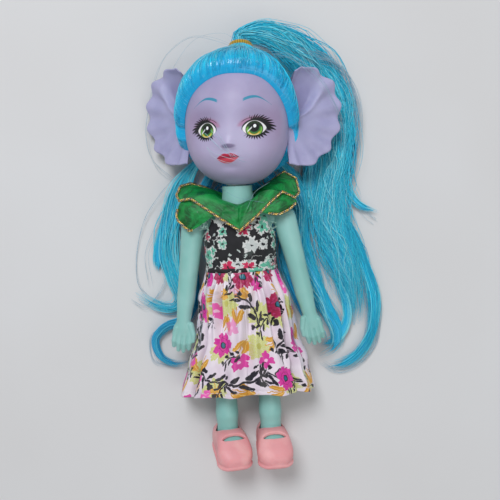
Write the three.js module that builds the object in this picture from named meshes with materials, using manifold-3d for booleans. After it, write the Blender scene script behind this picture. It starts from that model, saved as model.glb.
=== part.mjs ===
// A small jointed fashion doll that lies on its back: a soft hollow head with plug-in ears and long hair,
// a two-shell body with arms and legs that turn, and a dress, a pointed collar and strap shoes.
// Millimetres. +Z is up, out of the face, and +Y runs from the feet to the crown.
// The doll is built straight, in its own group, and that group is then laid on its heels and the back of
// its hair.
// Left and right are as seen from the front, so right is +X.

import * as THREE from "three";
import { mergeVertices } from "three/addons/utils/BufferGeometryUtils.js";
import Module from "manifold-3d";

const wasm = await Module();
wasm.setup();

// Clearances
const seatGap = 0.3; // between two pieces that touch
const pinGap = 0.15; // around a pin or a post in its hole
const clothGap = 0.4; // between the dress and the body in it

// Walls
const torsoWall = 1.3;
const headWall = 1.8;
const bodiceCloth = 0.6;
const skirtCloth = 0.8;
const collarCloth = 0.5;
const shoeWall = 1.0;
const soleThickness = 1.9;

// Body: x to the right, y up the body from the hip pin, z out of the chest
const waistHeight = 19.5; // where the bodice meets the skirt
const shoulderHeight = 37.6;
const neckLength = 12.8; // from the shoulders to the top of the neck
const neckTop = shoulderHeight + neckLength;
const torsoHalfWidth = 12;
const torsoHalfDepth = 7.6;
const neckRadius = 5.4;
const neckPostRadius = 3.9;
const neckKnobRadius = 6;
const neckPlugRadius = 3.2;
const pelvisHalfWidth = 2.4;

// Head: x and z across, y up from the centre of the skull
const headHeight = 20; // centre of the skull over the top of the neck
const skullHalfWidth = 18.6;
const skullHalfDepth = 18;
const crownHeight = 25.2;
const chinDepth = 20.4;
const skullSquareness = 0.88; // 1 is an ellipsoid, and less is fuller
const headTurn = THREE.MathUtils.degToRad(-9);
const headLean = THREE.MathUtils.degToRad(-3);
const noseLength = 1.2;
const noseDrop = 6.2;

// Ears
const earRadius = 20.6;
const earRootHeight = 4;
const earThickness = 1.5;
const earSweep = THREE.MathUtils.degToRad(33);
const earTopAngle = THREE.MathUtils.degToRad(82);
const earBottomAngle = THREE.MathUtils.degToRad(-84);
const earRuffles = 6.5;
const earRuffleHeight = 1.3;
const earStemHalfHeight = 4;
const earStemThickness = 1.3;

// Hair
const hairDepth = 3.2; // the combed layer over the scalp
const hairlineRise = 1.2; // the hairline plane's place and slope
const hairlineSlope = 0.6;
const tieRadius = 2.5;
const tieCordRadius = 1.1;
const floorLift = 0.3; // lowest point of the loose locks
const flatDepth = 0.5; // how far the hair under the head is pressed flat

// Arms
const armRadius = 4.2;
const armLength = 48;
const armSplay = { left: THREE.MathUtils.degToRad(8.6), right: THREE.MathUtils.degToRad(12) };
const shoulderPostRadius = 2.1;
const shoulderFlangeRadius = 3;
const shoulderFlangeThickness = 1.2;

// Legs and feet
const legSpacing = 8; // middle of a leg from the body's middle plane
const hipRadius = 6.2;
const thighHalfWidth = 5;
const ankleRadius = 3.8;
const ankleHeight = -38;
const hipPinRadius = 1.2;
const footPitch = THREE.MathUtils.degToRad(14);
const footYaw = { left: THREE.MathUtils.degToRad(15), right: THREE.MathUtils.degToRad(7) };
const footHeight = 9;
const footLength = 17.6;
const heelLength = 5; // heel behind the ankle

// Dress
const hemHeight = -27;
const skirtHalfWidthTop = 24; // at the hem, over the legs
const skirtHalfWidthBase = 25.8; // at the hem, on the floor
const hemLift = 2; // how far the front of the hem is drawn up over the body
const skirtFront = 12; // front of the skirt over the hip pin
const skirtPleats = 11;
const pleatDepth = 1.3;
const armholeRadius = 5.2;
const collarTipDrop = 11.5; // how far the front point hangs below the neckline
const collarReach = 20; // side points from the body's middle plane
const braidRadius = 0.6;
const stripHalfWidth = 2.6;
const stripThickness = 0.6;

// Colours
const vinyl = (colour) => new THREE.MeshStandardMaterial({ color: colour, roughness: 0.55, metalness: 0 });
const cloth = (colour) => new THREE.MeshStandardMaterial({ color: colour, roughness: 0.85, metalness: 0 });
const lavenderVinyl = vinyl(0xb9a6c4);
const mintPlastic = vinyl(0x8fc9b4);
const shoeVinyl = vinyl(0xe79a9c);
const hairFibre = new THREE.MeshStandardMaterial({ color: 0x19a5d6, roughness: 0.4, metalness: 0 });
const tieElastic = cloth(0xc79a1e);
const bodicePrint = cloth(0x23222b);
const skirtPrint = cloth(0xf0dfe8);
const organza = cloth(0x12893f);
const goldBraid = new THREE.MeshStandardMaterial({ color: 0xcda64a, roughness: 0.35, metalness: 0.8 });
const pinSteel = new THREE.MeshStandardMaterial({ color: 0xb8bcc0, roughness: 0.3, metalness: 1 });
const whiteNylon = cloth(0xe8e8e8);

const smooth = (t) => t * t * (3 - 2 * t);
const clamp01 = (t) => Math.min(1, Math.max(0, t));
const signedPower = (value, power) => Math.sign(value) * Math.abs(value) ** power;
const bump = (x, y, halfX, halfY) => Math.exp(-((x / halfX) ** 2) - (y / halfY) ** 2);

// A value read off [place, value] stations, smoothly between them
function along(stations, place) {
  const last = stations.length - 1;
  if (place <= stations[0][0]) return stations[0][1];
  if (place >= stations[last][0]) return stations[last][1];
  const next = stations.findIndex(([at]) => at > place);
  const [from, a] = stations[next - 1];
  const [to, b] = stations[next];
  return a + (b - a) * smooth((place - from) / (to - from));
}

// The solid inside a closed three.js geometry
function solidOf(geometry) {
  const bare = new THREE.BufferGeometry().setAttribute("position", geometry.getAttribute("position"));
  if (geometry.index) bare.setIndex(geometry.index);
  const merged = mergeVertices(bare, 1e-4);
  const make = (triangles) =>
    new wasm.Manifold(
      new wasm.Mesh({
        numProp: 3,
        vertProperties: new Float32Array(merged.attributes.position.array),
        triVerts: new Uint32Array(triangles),
      }),
    );
  const triangles = [];
  for (let i = 0; i < merged.index.count; i += 3) {
    const [a, b, c] = [0, 1, 2].map((k) => merged.index.getX(i + k));
    if (a !== b && b !== c && c !== a) triangles.push(a, b, c);
  }
  const solid = make(triangles);
  return solid.volume() < 0 ? make(triangles.reverse()) : solid;
}

// A solid without the slivers of no thickness that a cut can leave
const cleaned = (solid) => wasm.Manifold.union(solid.decompose().filter((body) => body.volume() > 1e-3));

// The three.js geometry of a solid
function geometryOf(solid) {
  const mesh = solid.getMesh();
  const positions = new Float32Array(mesh.numVert * 3);
  for (let i = 0; i < mesh.numVert; i++) {
    positions.set(mesh.vertProperties.subarray(i * mesh.numProp, i * mesh.numProp + 3), i * 3);
  }
  const geometry = new THREE.BufferGeometry();
  geometry.setAttribute("position", new THREE.BufferAttribute(positions, 3));
  return geometry.setIndex(new THREE.BufferAttribute(mesh.triVerts, 1));
}

// A closed skin over rings of equal length, capped at its ends, or running round to the first ring again
function loft(rings, { closed = false } = {}) {
  const size = rings[0].length;
  const points = rings.flat();
  const faces = [];
  const spans = closed ? rings.length : rings.length - 1;
  for (let r = 0; r < spans; r++) {
    for (let i = 0; i < size; i++) {
      const a = r * size + i;
      const b = r * size + ((i + 1) % size);
      const c = ((r + 1) % rings.length) * size + i;
      const d = ((r + 1) % rings.length) * size + ((i + 1) % size);
      faces.push(a, b, d, a, d, c);
    }
  }
  if (!closed) {
    for (const [ring, turned] of [[0, true], [rings.length - 1, false]]) {
      const centre = new THREE.Vector3();
      rings[ring].forEach((p) => centre.addScaledVector(p, 1 / size));
      const hub = points.push(centre) - 1;
      for (let i = 0; i < size; i++) {
        const a = ring * size + i;
        const b = ring * size + ((i + 1) % size);
        faces.push(...(turned ? [hub, b, a] : [hub, a, b]));
      }
    }
  }
  const positions = new Float32Array(points.flatMap((p) => [p.x, p.y, p.z]));
  const geometry = new THREE.BufferGeometry();
  geometry.setAttribute("position", new THREE.BufferAttribute(positions, 3));
  return geometry.setIndex(faces);
}

// An ellipse in the plane across y, from the back round by the left side
function levelRing(count, y, halfWidth, halfDepth, { x = 0, z = 0 } = {}) {
  return Array.from({ length: count }, (_, i) => {
    const angle = (2 * Math.PI * i) / count;
    return new THREE.Vector3(x + halfWidth * Math.sin(angle), y, z - halfDepth * Math.cos(angle));
  });
}

const move = (solid, x, y, z) => solid.translate([x, y, z]);
const round = (radius, length, sides = 20) =>
  solidOf(new THREE.CylinderGeometry(radius, radius, length, sides));
const alongX = (solid) => solid.rotate([0, 0, 90]);
const block = (x, y, z) => solidOf(new THREE.BoxGeometry(x, y, z));
const lathe = (profile, sides = 18) =>
  solidOf(new THREE.LatheGeometry(profile.map(([r, y]) => new THREE.Vector2(r, y)), sides));

function add(group, name, solid, material) {
  const mesh = new THREE.Mesh(geometryOf(cleaned(solid)), material);
  mesh.name = name;
  group.add(mesh);
  return mesh;
}

const root = new THREE.Group();
const doll = new THREE.Group();
const head = new THREE.Group();
root.add(doll);
doll.add(head);

// How the doll lies: a straight line touches the back of the heels and the back of the hair
const shoeBottom = -footHeight - seatGap - soleThickness;
const heelCorner = new THREE.Vector3(0, shoeBottom + 1, -heelLength - shoeWall - seatGap);
heelCorner.applyAxisAngle(new THREE.Vector3(1, 0, 0), footPitch);
const heelBack = -heelCorner.z;
const heelBottom = ankleHeight + heelCorner.y;
const headCentre = neckTop + headHeight;
const hairBack = skullHalfDepth + hairDepth - flatDepth;
const lieAngle = Math.asin((hairBack - heelBack) / (headCentre - heelBottom));
const hipLift = heelBack - heelBottom * Math.sin(lieAngle);
doll.rotation.x = lieAngle;
doll.position.z = hipLift;
head.position.set(0, neckTop, 0);
head.rotation.set(0, headTurn, headLean, "ZYX");
root.updateMatrixWorld(true);

// The depth, in the doll's own frame, of a plane at a height over the floor
const floorDepth = (y, height) => (height - hipLift - y * Math.sin(lieAngle)) / Math.cos(lieAngle);

// Head

// A point on the skull or on a surface laid over it, from its latitude and its longitude round from the nose
function skullPoint(latitude, longitude, over = 0) {
  const across = signedPower(Math.cos(latitude), skullSquareness);
  const up = signedPower(Math.sin(latitude), skullSquareness);
  const half = skullHalfWidth + 0.5 * up + over;
  const tall = (up > 0 ? crownHeight : chinDepth) + over;
  return new THREE.Vector3(
    half * across * Math.sin(longitude),
    headHeight + tall * up,
    (skullHalfDepth + over) * across * Math.cos(longitude),
  );
}

// A closed skin laid over the skull, with finer columns round the face
function skullSolid(over, rows, columns, { face = false } = {}) {
  const frontPull = face ? 0.45 : 0;
  const rings = [];
  for (let row = 1; row < rows; row++) {
    const latitude = -Math.PI / 2 + (Math.PI * row) / rows;
    rings.push(
      Array.from({ length: columns }, (_, i) => {
        const u = -Math.PI + (2 * Math.PI * i) / columns;
        const p = skullPoint(latitude, u - frontPull * Math.sin(u), over);
        if (face && p.z > 0) p.z += noseLength * bump(p.x, p.y - headHeight + noseDrop, 1.9, 2.4);
        return p;
      }),
    );
  }
  return solidOf(loft(rings));
}

const skull = skullSolid(0, 20, 34, { face: true });
const neckHoleRadius = neckPostRadius + seatGap;

// [angle up from straight out, reach as a share of the ear's radius]
const earOutline = [
  [-84, 0.82],
  [-62, 0.95],
  [-30, 1],
  [0, 1.05],
  [30, 1.08],
  [56, 1],
  [72, 0.9],
  [82, 0.8],
];

// The right ear as a fan, before it is cut to the skull
function earFan() {
  const steps = 5;
  const columns = 29;
  const sheet = (side) =>
    Array.from({ length: steps + 1 }, (_, step) =>
      Array.from({ length: columns + 1 }, (_, column) => {
        const out = step / steps;
        const share = column / columns;
        const angle = earBottomAngle + (earTopAngle - earBottomAngle) * share;
        const ruffled = smooth(clamp01((out - 0.5) / 0.5)) * smooth(clamp01((0.76 - share) / 0.14));
        const wave = Math.sin(2 * Math.PI * earRuffles * share);
        const reach = earRadius * along(earOutline, THREE.MathUtils.radToDeg(angle));
        const radius = reach * (0.08 + 0.92 * out) * (1 + 0.025 * wave * ruffled);
        const dish = 1.6 * out * out - 1.4 * Math.sin(Math.PI * clamp01(out / 0.75));
        const lift = dish + earRuffleHeight * wave * ruffled;
        const half = (earThickness * (1.15 - 0.35 * out)) / 2;
        return new THREE.Vector3(radius * Math.cos(angle), radius * Math.sin(angle), lift + side * half);
      }),
    );
  const front = sheet(1);
  const back = sheet(-1);
  // each column is a closed ring: out along the front and home along the back
  const rings = front[0].map((_, column) => [
    ...front.map((row) => row[column]),
    ...back.map((row) => row[column]).reverse(),
  ]);
  return solidOf(loft(rings));
}

const earRootX = skullHalfWidth - 1.6;
const earRootZ = -1.4;
const degrees = (angle) => (angle * 180) / Math.PI;
const earStem = (gap) =>
  block(headWall * 2 + 3, 2 * (earStemHalfHeight + gap), earStemThickness + 2 * gap);
function placeEar(solid, x = 0) {
  const swept = move(solid, x, 0, 0).rotate([0, degrees(earSweep), 0]);
  return move(swept, earRootX, headHeight + earRootHeight, earRootZ);
}
const earStemPlace = 0.4;
const rightEar = placeEar(earFan())
  .subtract(skullSolid(seatGap, 14, 26))
  .add(placeEar(earStem(0), earStemPlace));
const rightEarSocket = placeEar(earStem(seatGap / 2), earStemPlace);
const toOtherSide = (solid) => solid.mirror([1, 0, 0]);

const headShell = skull
  .subtract(skullSolid(-headWall, 11, 20))
  .subtract(move(round(neckHoleRadius, 4 * headWall), 0, headHeight - chinDepth + headWall, 0))
  .subtract(rightEarSocket)
  .subtract(toOtherSide(rightEarSocket));
add(head, "head_shell", headShell, lavenderVinyl);
add(head, "ear_right", rightEar, lavenderVinyl);
add(head, "ear_left", toOtherSide(rightEar), lavenderVinyl);

// Hair over the scalp, gathered at the back of the crown

const gatherLatitude = THREE.MathUtils.degToRad(72);
const gather = skullPoint(gatherLatitude, Math.PI, hairDepth);
const gatherAxis = new THREE.Vector3(0, 0.95, -0.31).normalize();
const gatherRise = 4.6; // length of the gathered stub over the scalp
const tiePlace = 2.2; // the tie's place on it
const upright = new THREE.Vector3(0, 1, 0);
const gatherTurn = new THREE.Quaternion().setFromUnitVectors(upright, gatherAxis);
const gatherFrame = new THREE.Matrix4().compose(gather, gatherTurn, new THREE.Vector3(1, 1, 1));
const inFrame = (geometry, frame) => solidOf(geometry.applyMatrix4(frame));

const gatherCone = new THREE.LatheGeometry(
  [
    [0, -4],
    [tieRadius + 4.5, -2.2],
    [tieRadius + 1.2, -0.2],
    [tieRadius, tiePlace - tieCordRadius],
    [tieRadius, gatherRise],
    [0, gatherRise],
  ].map(([r, y]) => new THREE.Vector2(r, y)),
  20,
);

// A half space, as a big block behind a plane through a point
function behind(point, normal) {
  const size = 200;
  const frame = new THREE.Matrix4().compose(
    point.clone().addScaledVector(normal.clone().normalize(), -size / 2),
    new THREE.Quaternion().setFromUnitVectors(new THREE.Vector3(0, 0, 1), normal.clone().normalize()),
    new THREE.Vector3(1, 1, 1),
  );
  return inFrame(new THREE.BoxGeometry(size, size, size), frame);
}

const hairline = behind(
  new THREE.Vector3(0, headHeight, hairlineRise),
  new THREE.Vector3(0, -hairlineSlope, 1),
);
const templeFront = behind(new THREE.Vector3(0, headHeight, hairlineRise), new THREE.Vector3(0, 0.1, 1));
const napeLine = behind(new THREE.Vector3(0, headHeight - 6.8, 0), new THREE.Vector3(0, -1, 0.92));
const floorInHead = new THREE.Matrix4().copy(head.matrixWorld).invert();
const floorPoint = new THREE.Vector3(0, headCentre, 0).applyMatrix4(floorInHead);
const floorUp = new THREE.Vector3(0, 0, 1).transformDirection(floorInHead);
const underFloor = behind(floorPoint, floorUp);

const earSlot = move(block(2 * earRadius, 2 * earRadius + 4, earThickness + 2.5), 0, 0, -0.6);
const earRoom = placeEar(earSlot).intersect(
  behind(new THREE.Vector3(0, headHeight + earRadius, 0), upright),
);
const hairCap = skullSolid(hairDepth, 17, 30)
  .add(inFrame(gatherCone, gatherFrame))
  .subtract(skullSolid(seatGap, 14, 26))
  .intersect(hairline.add(templeFront.intersect(behind(new THREE.Vector3(0, headHeight, 0), upright))))
  .intersect(napeLine)
  .subtract(underFloor)
  .subtract(earRoom)
  .subtract(toOtherSide(earRoom));
add(head, "hair_cap", hairCap, hairFibre);

const tieFrame = new THREE.Matrix4().compose(
  gather.clone().addScaledVector(gatherAxis, tiePlace),
  gatherTurn,
  new THREE.Vector3(1, 1, 1),
);
const tieRing = new THREE.TorusGeometry(tieRadius + tieCordRadius + seatGap, tieCordRadius, 8, 18);
tieRing.rotateX(Math.PI / 2);
add(head, "hair_tie", inFrame(tieRing, tieFrame), tieElastic);

// Loose locks, on the floor beside the doll: [x, y, z, half width, half height] down each one

const hairEnvelope = inFrame(geometryOf(skullSolid(hairDepth + seatGap, 18, 32)), head.matrixWorld);

function lock(stations, sides = 8) {
  const spine = new THREE.CatmullRomCurve3(stations.map(([x, y, z]) => new THREE.Vector3(x, y, z)));
  const steps = (stations.length - 1) * 2;
  const rings = [];
  for (let step = 0; step <= steps; step++) {
    const t = step / steps;
    const at = spine.getPoint(t);
    const forward = spine.getTangent(t);
    const side = new THREE.Vector3(forward.y, -forward.x, 0).normalize();
    const up = new THREE.Vector3().crossVectors(side, forward);
    const place = t * (stations.length - 1);
    const halfWidth = along(stations.map((s, i) => [i, s[3]]), place);
    const halfHeight = along(stations.map((s, i) => [i, s[4]]), place);
    rings.push(
      Array.from({ length: sides }, (_, i) => {
        const angle = (2 * Math.PI * i) / sides;
        return at
          .clone()
          .addScaledVector(side, halfWidth * Math.cos(angle))
          .addScaledVector(up, halfHeight * Math.sin(angle));
      }),
    );
  }
  return solidOf(loft(rings));
}

const overGather = (rise) => gather.clone().addScaledVector(gatherAxis, rise).applyMatrix4(head.matrixWorld);
const locks = {
  ponytail: [
    [
      [...overGather(gatherRise + seatGap), 2.2, 2.2],
      [...overGather(gatherRise + 2.2), 2.8, 2.8],
      [14.6, 104.6, 13, 4.2, 3.8],
      [25, 98.6, 9.4, 6, 3.8],
      [32.6, 91.4, 6.4, 7, 3.6],
      [37.4, 82, 5, 7.4, 3.4],
      [39.4, 71, 4.4, 7, 3.3],
      [38, 59, 4.2, 6.8, 3.2],
      [34.6, 48, 4, 7, 3],
      [35.6, 36, 3.6, 7.8, 2.8],
      [37.8, 24, 3.2, 8.8, 2.6],
      [40.8, 12, 2.6, 7.6, 2.2],
      [42.6, 3, 2.2, 5.6, 1.8],
      [43.4, -4, 1.8, 2, 1],
    ],
    // a flick out to the side
    [
      [39.5, 52, 3.2, 1.2, 1.4],
      [42.6, 45, 2.8, 1.7, 1.6],
      [46.4, 40.6, 2.4, 1.5, 1.5],
      [52, 38, 2.4, 0.7, 0.8],
    ],
    // the outermost curl
    [
      [39, 34, 3, 1.6, 1.6],
      [45.4, 26, 2.6, 2.2, 2],
      [50, 16, 2.6, 2.4, 2],
      [52, 5, 2.6, 2.3, 2],
      [50, -7, 2.4, 2.2, 1.9],
      [44, -15.5, 2.2, 2, 1.7],
      [36.5, -19.6, 2, 1.5, 1.4],
      [30, -20.4, 1.6, 0.7, 0.9],
    ],
  ],
  lock_right_outer: [
    [
      [13.6, 61, 6, 2.2, 2.4],
      [20, 54, 4.4, 2.6, 2.6],
      [24, 44, 3.4, 2.9, 2.6],
      [23.8, 34, 3, 3, 2.5],
      [24.2, 24, 3, 3.2, 2.5],
      [27.4, 13, 2.8, 3.4, 2.4],
      [31.4, 3, 2.6, 3.2, 2.2],
      [35.2, -6, 2.4, 2.8, 2],
      [33.4, -12.6, 2, 1.8, 1.6],
      [27.6, -15, 1.6, 0.8, 1],
    ],
  ],
  lock_right_inner: [
    [
      [7, 61, 5, 2, 2.2],
      [12, 53, 3.8, 2.2, 2.4],
      [16.4, 43, 3, 2.4, 2.2],
      [17.6, 32, 2.8, 2.5, 2.2],
      [17.8, 20, 2.8, 2.6, 2.2],
      [21, 8, 2.6, 2.5, 2.2],
      [25.2, -2, 2.4, 2.4, 2],
      [27.6, -9.5, 2, 1, 1.2],
    ],
  ],
  lock_left_outer: [
    [
      [-12.5, 62, 6, 2.2, 2.4],
      [-18.6, 55, 4.4, 2.6, 2.6],
      [-23.6, 46, 3.4, 3, 2.6],
      [-26, 36, 3, 3.4, 2.5],
      [-27, 26, 2.8, 3.2, 2.4],
      [-25.6, 17.5, 2.6, 2.8, 2.2],
      [-23.4, 10, 2.3, 2.2, 1.9],
      [-26.4, 5.6, 2.3, 2, 1.7],
      [-33, 7, 2.4, 2, 1.7],
      [-41, 12.8, 2.4, 0.7, 0.8],
    ],
  ],
  lock_left_inner: [
    [
      [-6, 61, 5, 2, 2.2],
      [-11, 53, 3.8, 2.2, 2.4],
      [-16, 43, 3, 2.4, 2.2],
      [-19.2, 31, 2.8, 2.6, 2.2],
      [-18.6, 18, 2.6, 2.6, 2.2],
      [-18.8, 8, 2.4, 2.2, 1.9],
      [-22.4, 0.6, 2.2, 1.9, 1.7],
      [-29.4, -1.4, 2.2, 1.9, 1.6],
      [-34, -6, 2.2, 2, 1.7],
      [-32.4, -12.6, 2.2, 1.9, 1.7],
      [-27, -16, 2, 1.5, 1.4],
      [-21.6, -15.4, 1.8, 0.7, 0.8],
    ],
  ],
  back_hair: [
    [
      [0, 62, 4, 3.6, 2.4],
      [0, 54, 3, 7, 2.3],
      [0, 44, 2.2, 11, 1.8],
      [0, 32, 1.9, 12.5, 1.5],
      [0, 22, 1.7, 12, 1.3],
      [0, 17.5, 1.4, 9, 1],
    ],
  ],
};
for (const [name, strands] of Object.entries(locks)) {
  const hair = strands.map((stations) => lock(stations)).reduce((whole, strand) => whole.add(strand));
  const lowest = hair.boundingBox().min[2];
  add(root, name, move(hair, 0, 0, Math.max(0, floorLift - lowest)).subtract(hairEnvelope), hairFibre);
}

// Body shells

// [height, half width, half depth] up the torso and the neck
const torsoStations = [
  [8, torsoHalfWidth - 2, torsoHalfDepth - 0.6],
  [13, torsoHalfWidth - 0.6, torsoHalfDepth - 0.1],
  [waistHeight, torsoHalfWidth - 0.4, torsoHalfDepth - 0.3],
  [26, torsoHalfWidth, torsoHalfDepth],
  [shoulderHeight - 5, torsoHalfWidth, torsoHalfDepth],
  [shoulderHeight, torsoHalfWidth - 0.2, torsoHalfDepth - 0.2],
  [shoulderHeight + 2.6, torsoHalfWidth - 0.9, torsoHalfDepth - 0.8],
  [shoulderHeight + 4.4, torsoHalfWidth - 3.6, torsoHalfDepth - 1.6],
  [shoulderHeight + 6, neckRadius + 0.5, neckRadius + 0.1],
  [neckTop - 2, neckRadius, neckRadius],
];
const torsoForm = (over, from = torsoStations[0][0], to = neckTop - seatGap * 2) => {
  const inside = torsoStations.filter(([y]) => y > from && y < to);
  const width = torsoStations.map(([y, half]) => [y, half]);
  const depth = torsoStations.map(([y, , half]) => [y, half]);
  const heights = [from, ...inside.map(([y]) => y), to];
  const rings = heights.map((y) => levelRing(20, y, along(width, y) + over, along(depth, y) + over));
  return solidOf(loft(rings));
};

// The legs turn on a pin through this web between them
const pelvisDrop = 5;
const pelvisHalfDepth = 5.4;
const pelvisWeb = solidOf(
  loft([
    levelRing(20, -pelvisDrop, pelvisHalfWidth - 0.4, pelvisHalfDepth - 2),
    levelRing(20, -pelvisDrop + 2, pelvisHalfWidth, pelvisHalfDepth),
    levelRing(20, torsoStations[0][0] + 1, pelvisHalfWidth, pelvisHalfDepth),
  ]),
);
const legRoom = alongX(round(hipRadius + seatGap, 60, 20)).subtract(block(2 * pelvisHalfWidth, 60, 60));
const plugBottom = shoulderHeight + 3;
const plugFlangeRadius = neckPlugRadius + 1;
const plugFlangeHeight = 1.4;
const cavityFloor = torsoStations[0][0] + torsoWall;
const cavityTop = shoulderHeight + 4;
const shoulderX = torsoHalfWidth + seatGap + armRadius;
const flangeX = torsoHalfWidth - torsoWall - seatGap - shoulderFlangeThickness / 2;
const socketLength = 6;
const shoulderSocket = move(
  alongX(round(shoulderPostRadius + pinGap, socketLength)),
  torsoHalfWidth,
  shoulderHeight,
  0,
).add(
  move(
    alongX(round(shoulderFlangeRadius + seatGap, shoulderFlangeThickness + 2 * seatGap)),
    flangeX,
    shoulderHeight,
    0,
  ),
);
const plugFlangeRoom = round(plugFlangeRadius + pinGap, plugFlangeHeight + 2 * pinGap);
const neckBore = move(round(neckPlugRadius + pinGap, 20), 0, plugBottom + 10, 0).add(
  move(plugFlangeRoom, 0, plugBottom + plugFlangeHeight / 2, 0),
);
const webRoom = block(2 * pelvisHalfWidth, 2 * cavityFloor + 4, 40);
const torso = torsoForm(0)
  .add(pelvisWeb)
  .subtract(torsoForm(-torsoWall, cavityFloor, cavityTop).subtract(webRoom))
  .subtract(legRoom)
  .subtract(shoulderSocket)
  .subtract(toOtherSide(shoulderSocket))
  .subtract(neckBore)
  .subtract(alongX(round(hipPinRadius + pinGap, 40, 20)));
const halfSpan = 4 * neckTop; // a block over one half of the body
const torsoHalf = (side) =>
  torso.intersect(move(block(halfSpan, halfSpan, halfSpan), 0, 0, (side * (halfSpan + (2 * seatGap) / 3)) / 2));
add(doll, "torso_front_shell", torsoHalf(1), mintPlastic);
add(doll, "torso_back_shell", torsoHalf(-1), mintPlastic);

// The knob that holds the head on the neck
const knobSeat = neckTop + headHeight - chinDepth + headWall + 2.1;
const neckKnob = lathe([
  [0, plugBottom],
  [plugFlangeRadius, plugBottom],
  [plugFlangeRadius, plugBottom + plugFlangeHeight],
  [neckPlugRadius, plugBottom + plugFlangeHeight],
  [neckPlugRadius, neckTop - seatGap],
  [neckPostRadius, neckTop - seatGap],
  [neckPostRadius, knobSeat - 0.4],
  [neckKnobRadius, knobSeat],
  [neckKnobRadius - 0.4, knobSeat + 0.7],
  [neckPostRadius - 0.6, knobSeat + 2.6],
  [0, knobSeat + 2.9],
]);
add(doll, "neck_knob", neckKnob, mintPlastic);

// Arms

// [distance down the arm, half width, half depth, shift forward] for an arm that hangs along -y
const elbow = 21;
const wrist = armLength - 11.5;
const handHalfWidth = 4.2;
const armStations = [
  [-armRadius + 0.35, 1.2, 1.2, 0],
  [-armRadius + 1.3, armRadius - 1.4, armRadius - 1.4, 0],
  [-armRadius + 3, armRadius - 0.25, armRadius - 0.25, 0],
  [0, armRadius, armRadius, 0],
  [6, armRadius - 0.15, armRadius - 0.05, 0],
  [13, armRadius - 0.5, armRadius - 0.3, 0],
  [elbow, armRadius - 0.8, armRadius - 0.6, 0],
  [elbow + 7, armRadius - 0.9, armRadius - 0.9, 0.5],
  [wrist - 3, armRadius - 1.4, armRadius - 1.5, 1.3],
  [wrist, armRadius - 1.6, armRadius - 1.9, 1.7],
  [wrist + 3, handHalfWidth - 0.5, 2.3, 2],
  [wrist + 6.5, handHalfWidth, 2.2, 2.2],
  [wrist + 9.5, handHalfWidth - 0.4, 1.8, 1.9],
  [armLength - 0.6, handHalfWidth - 1.2, 1.3, 1.4],
  [armLength, handHalfWidth - 2.2, 0.7, 1.2],
];
const thumbLength = 5;

// The right arm, with its post and flange toward the body
function armSolid(splay) {
  const rings = armStations.map(([down, halfWidth, halfDepth, forward]) =>
    levelRing(14, -down, halfWidth, halfDepth, { z: forward }),
  );
  const limb = solidOf(loft(rings));
  const thumb = move(
    solidOf(new THREE.CapsuleGeometry(1.1, thumbLength, 3, 8)).rotate([0, 0, -18]),
    -handHalfWidth + 0.3,
    -(wrist + 5),
    2.6,
  );
  const inner = move(block(10, 60, 40), -armRadius - 5, 0, 0);
  const plugLength = shoulderX - armRadius - flangeX + shoulderFlangeThickness / 2;
  const post = alongX(round(shoulderPostRadius, plugLength + 2));
  const flange = alongX(round(shoulderFlangeRadius, shoulderFlangeThickness));
  return limb
    .add(thumb)
    .rotate([0, 0, degrees(splay)])
    .subtract(inner)
    .add(move(post, -armRadius - (plugLength - 2) / 2, 0, 0))
    .add(move(flange, flangeX - shoulderX, 0, 0));
}
const armRight = add(doll, "arm_right", armSolid(armSplay.right), mintPlastic);
armRight.position.set(shoulderX, shoulderHeight, 0);
const armLeft = add(doll, "arm_left", toOtherSide(armSolid(armSplay.left)), mintPlastic);
armLeft.position.set(-shoulderX, shoulderHeight, 0);

// Legs and feet

const hubInner = pelvisHalfWidth + seatGap;
const hubOuter = legSpacing + thighHalfWidth - 0.6;
const pinHalfLength = hubOuter - 2;

// [height, half width, half depth] down the leg
const legStations = [
  [hipRadius - 0.5, 1.6, 1.8],
  [hipRadius - 1.6, thighHalfWidth - 2, hipRadius - 2.6],
  [hipRadius - 3.4, thighHalfWidth - 0.8, hipRadius - 0.9],
  [0, thighHalfWidth, hipRadius],
  [-6, thighHalfWidth - 0.1, hipRadius - 0.4],
  [-14, thighHalfWidth - 0.5, hipRadius - 1],
  [-22, thighHalfWidth - 1, hipRadius - 1.7],
  [-28, thighHalfWidth - 1.1, hipRadius - 1.8],
  [-34, ankleRadius + 0.4, ankleRadius + 0.7],
  [ankleHeight, ankleRadius, ankleRadius],
  [ankleHeight - 4, ankleRadius + 0.1, ankleRadius + 0.2],
];

// A ring of a foot or a shoe across its length, flat below: [distance from the heel, half width, top, bottom]
function footRing(z, halfWidth, top, bottom, count = 12) {
  const middle = (top + bottom) / 2;
  const half = (top - bottom) / 2;
  return Array.from({ length: count }, (_, i) => {
    const angle = (2 * Math.PI * i) / count;
    return new THREE.Vector3(
      halfWidth * signedPower(Math.sin(angle), 0.75),
      middle - half * signedPower(Math.cos(angle), 0.7),
      z,
    );
  });
}
const toe = footLength - heelLength;
const footForm = (over) =>
  solidOf(
    loft(
      [
        [-heelLength - over, 1.5, -3.5, -7.5],
        [-heelLength + 0.9 - over / 2, 2.9, -1.6, -footHeight + 0.3],
        [-heelLength + 3, 3.5, 0.4, -footHeight],
        [2.4, 3.7, 0.2, -footHeight],
        [5.4, 4.1, -1, -footHeight],
        [8.4, 4.6, -2.8, -footHeight],
        [toe - 2, 4.2, -4.6, -footHeight],
        [toe + over / 2, 2.6, -6.2, -footHeight + 0.4],
        [toe + 0.4 + over, 1.2, -6.8, -footHeight + 1],
      ].map(([z, halfWidth, top, bottom]) => footRing(z, halfWidth + over, top + over, bottom - over)),
    ),
  );

function placeFoot(solid, yaw) {
  return move(solid.rotate([degrees(footPitch), 0, 0]).rotate([0, degrees(yaw), 0]), 0, ankleHeight, 0);
}

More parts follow.
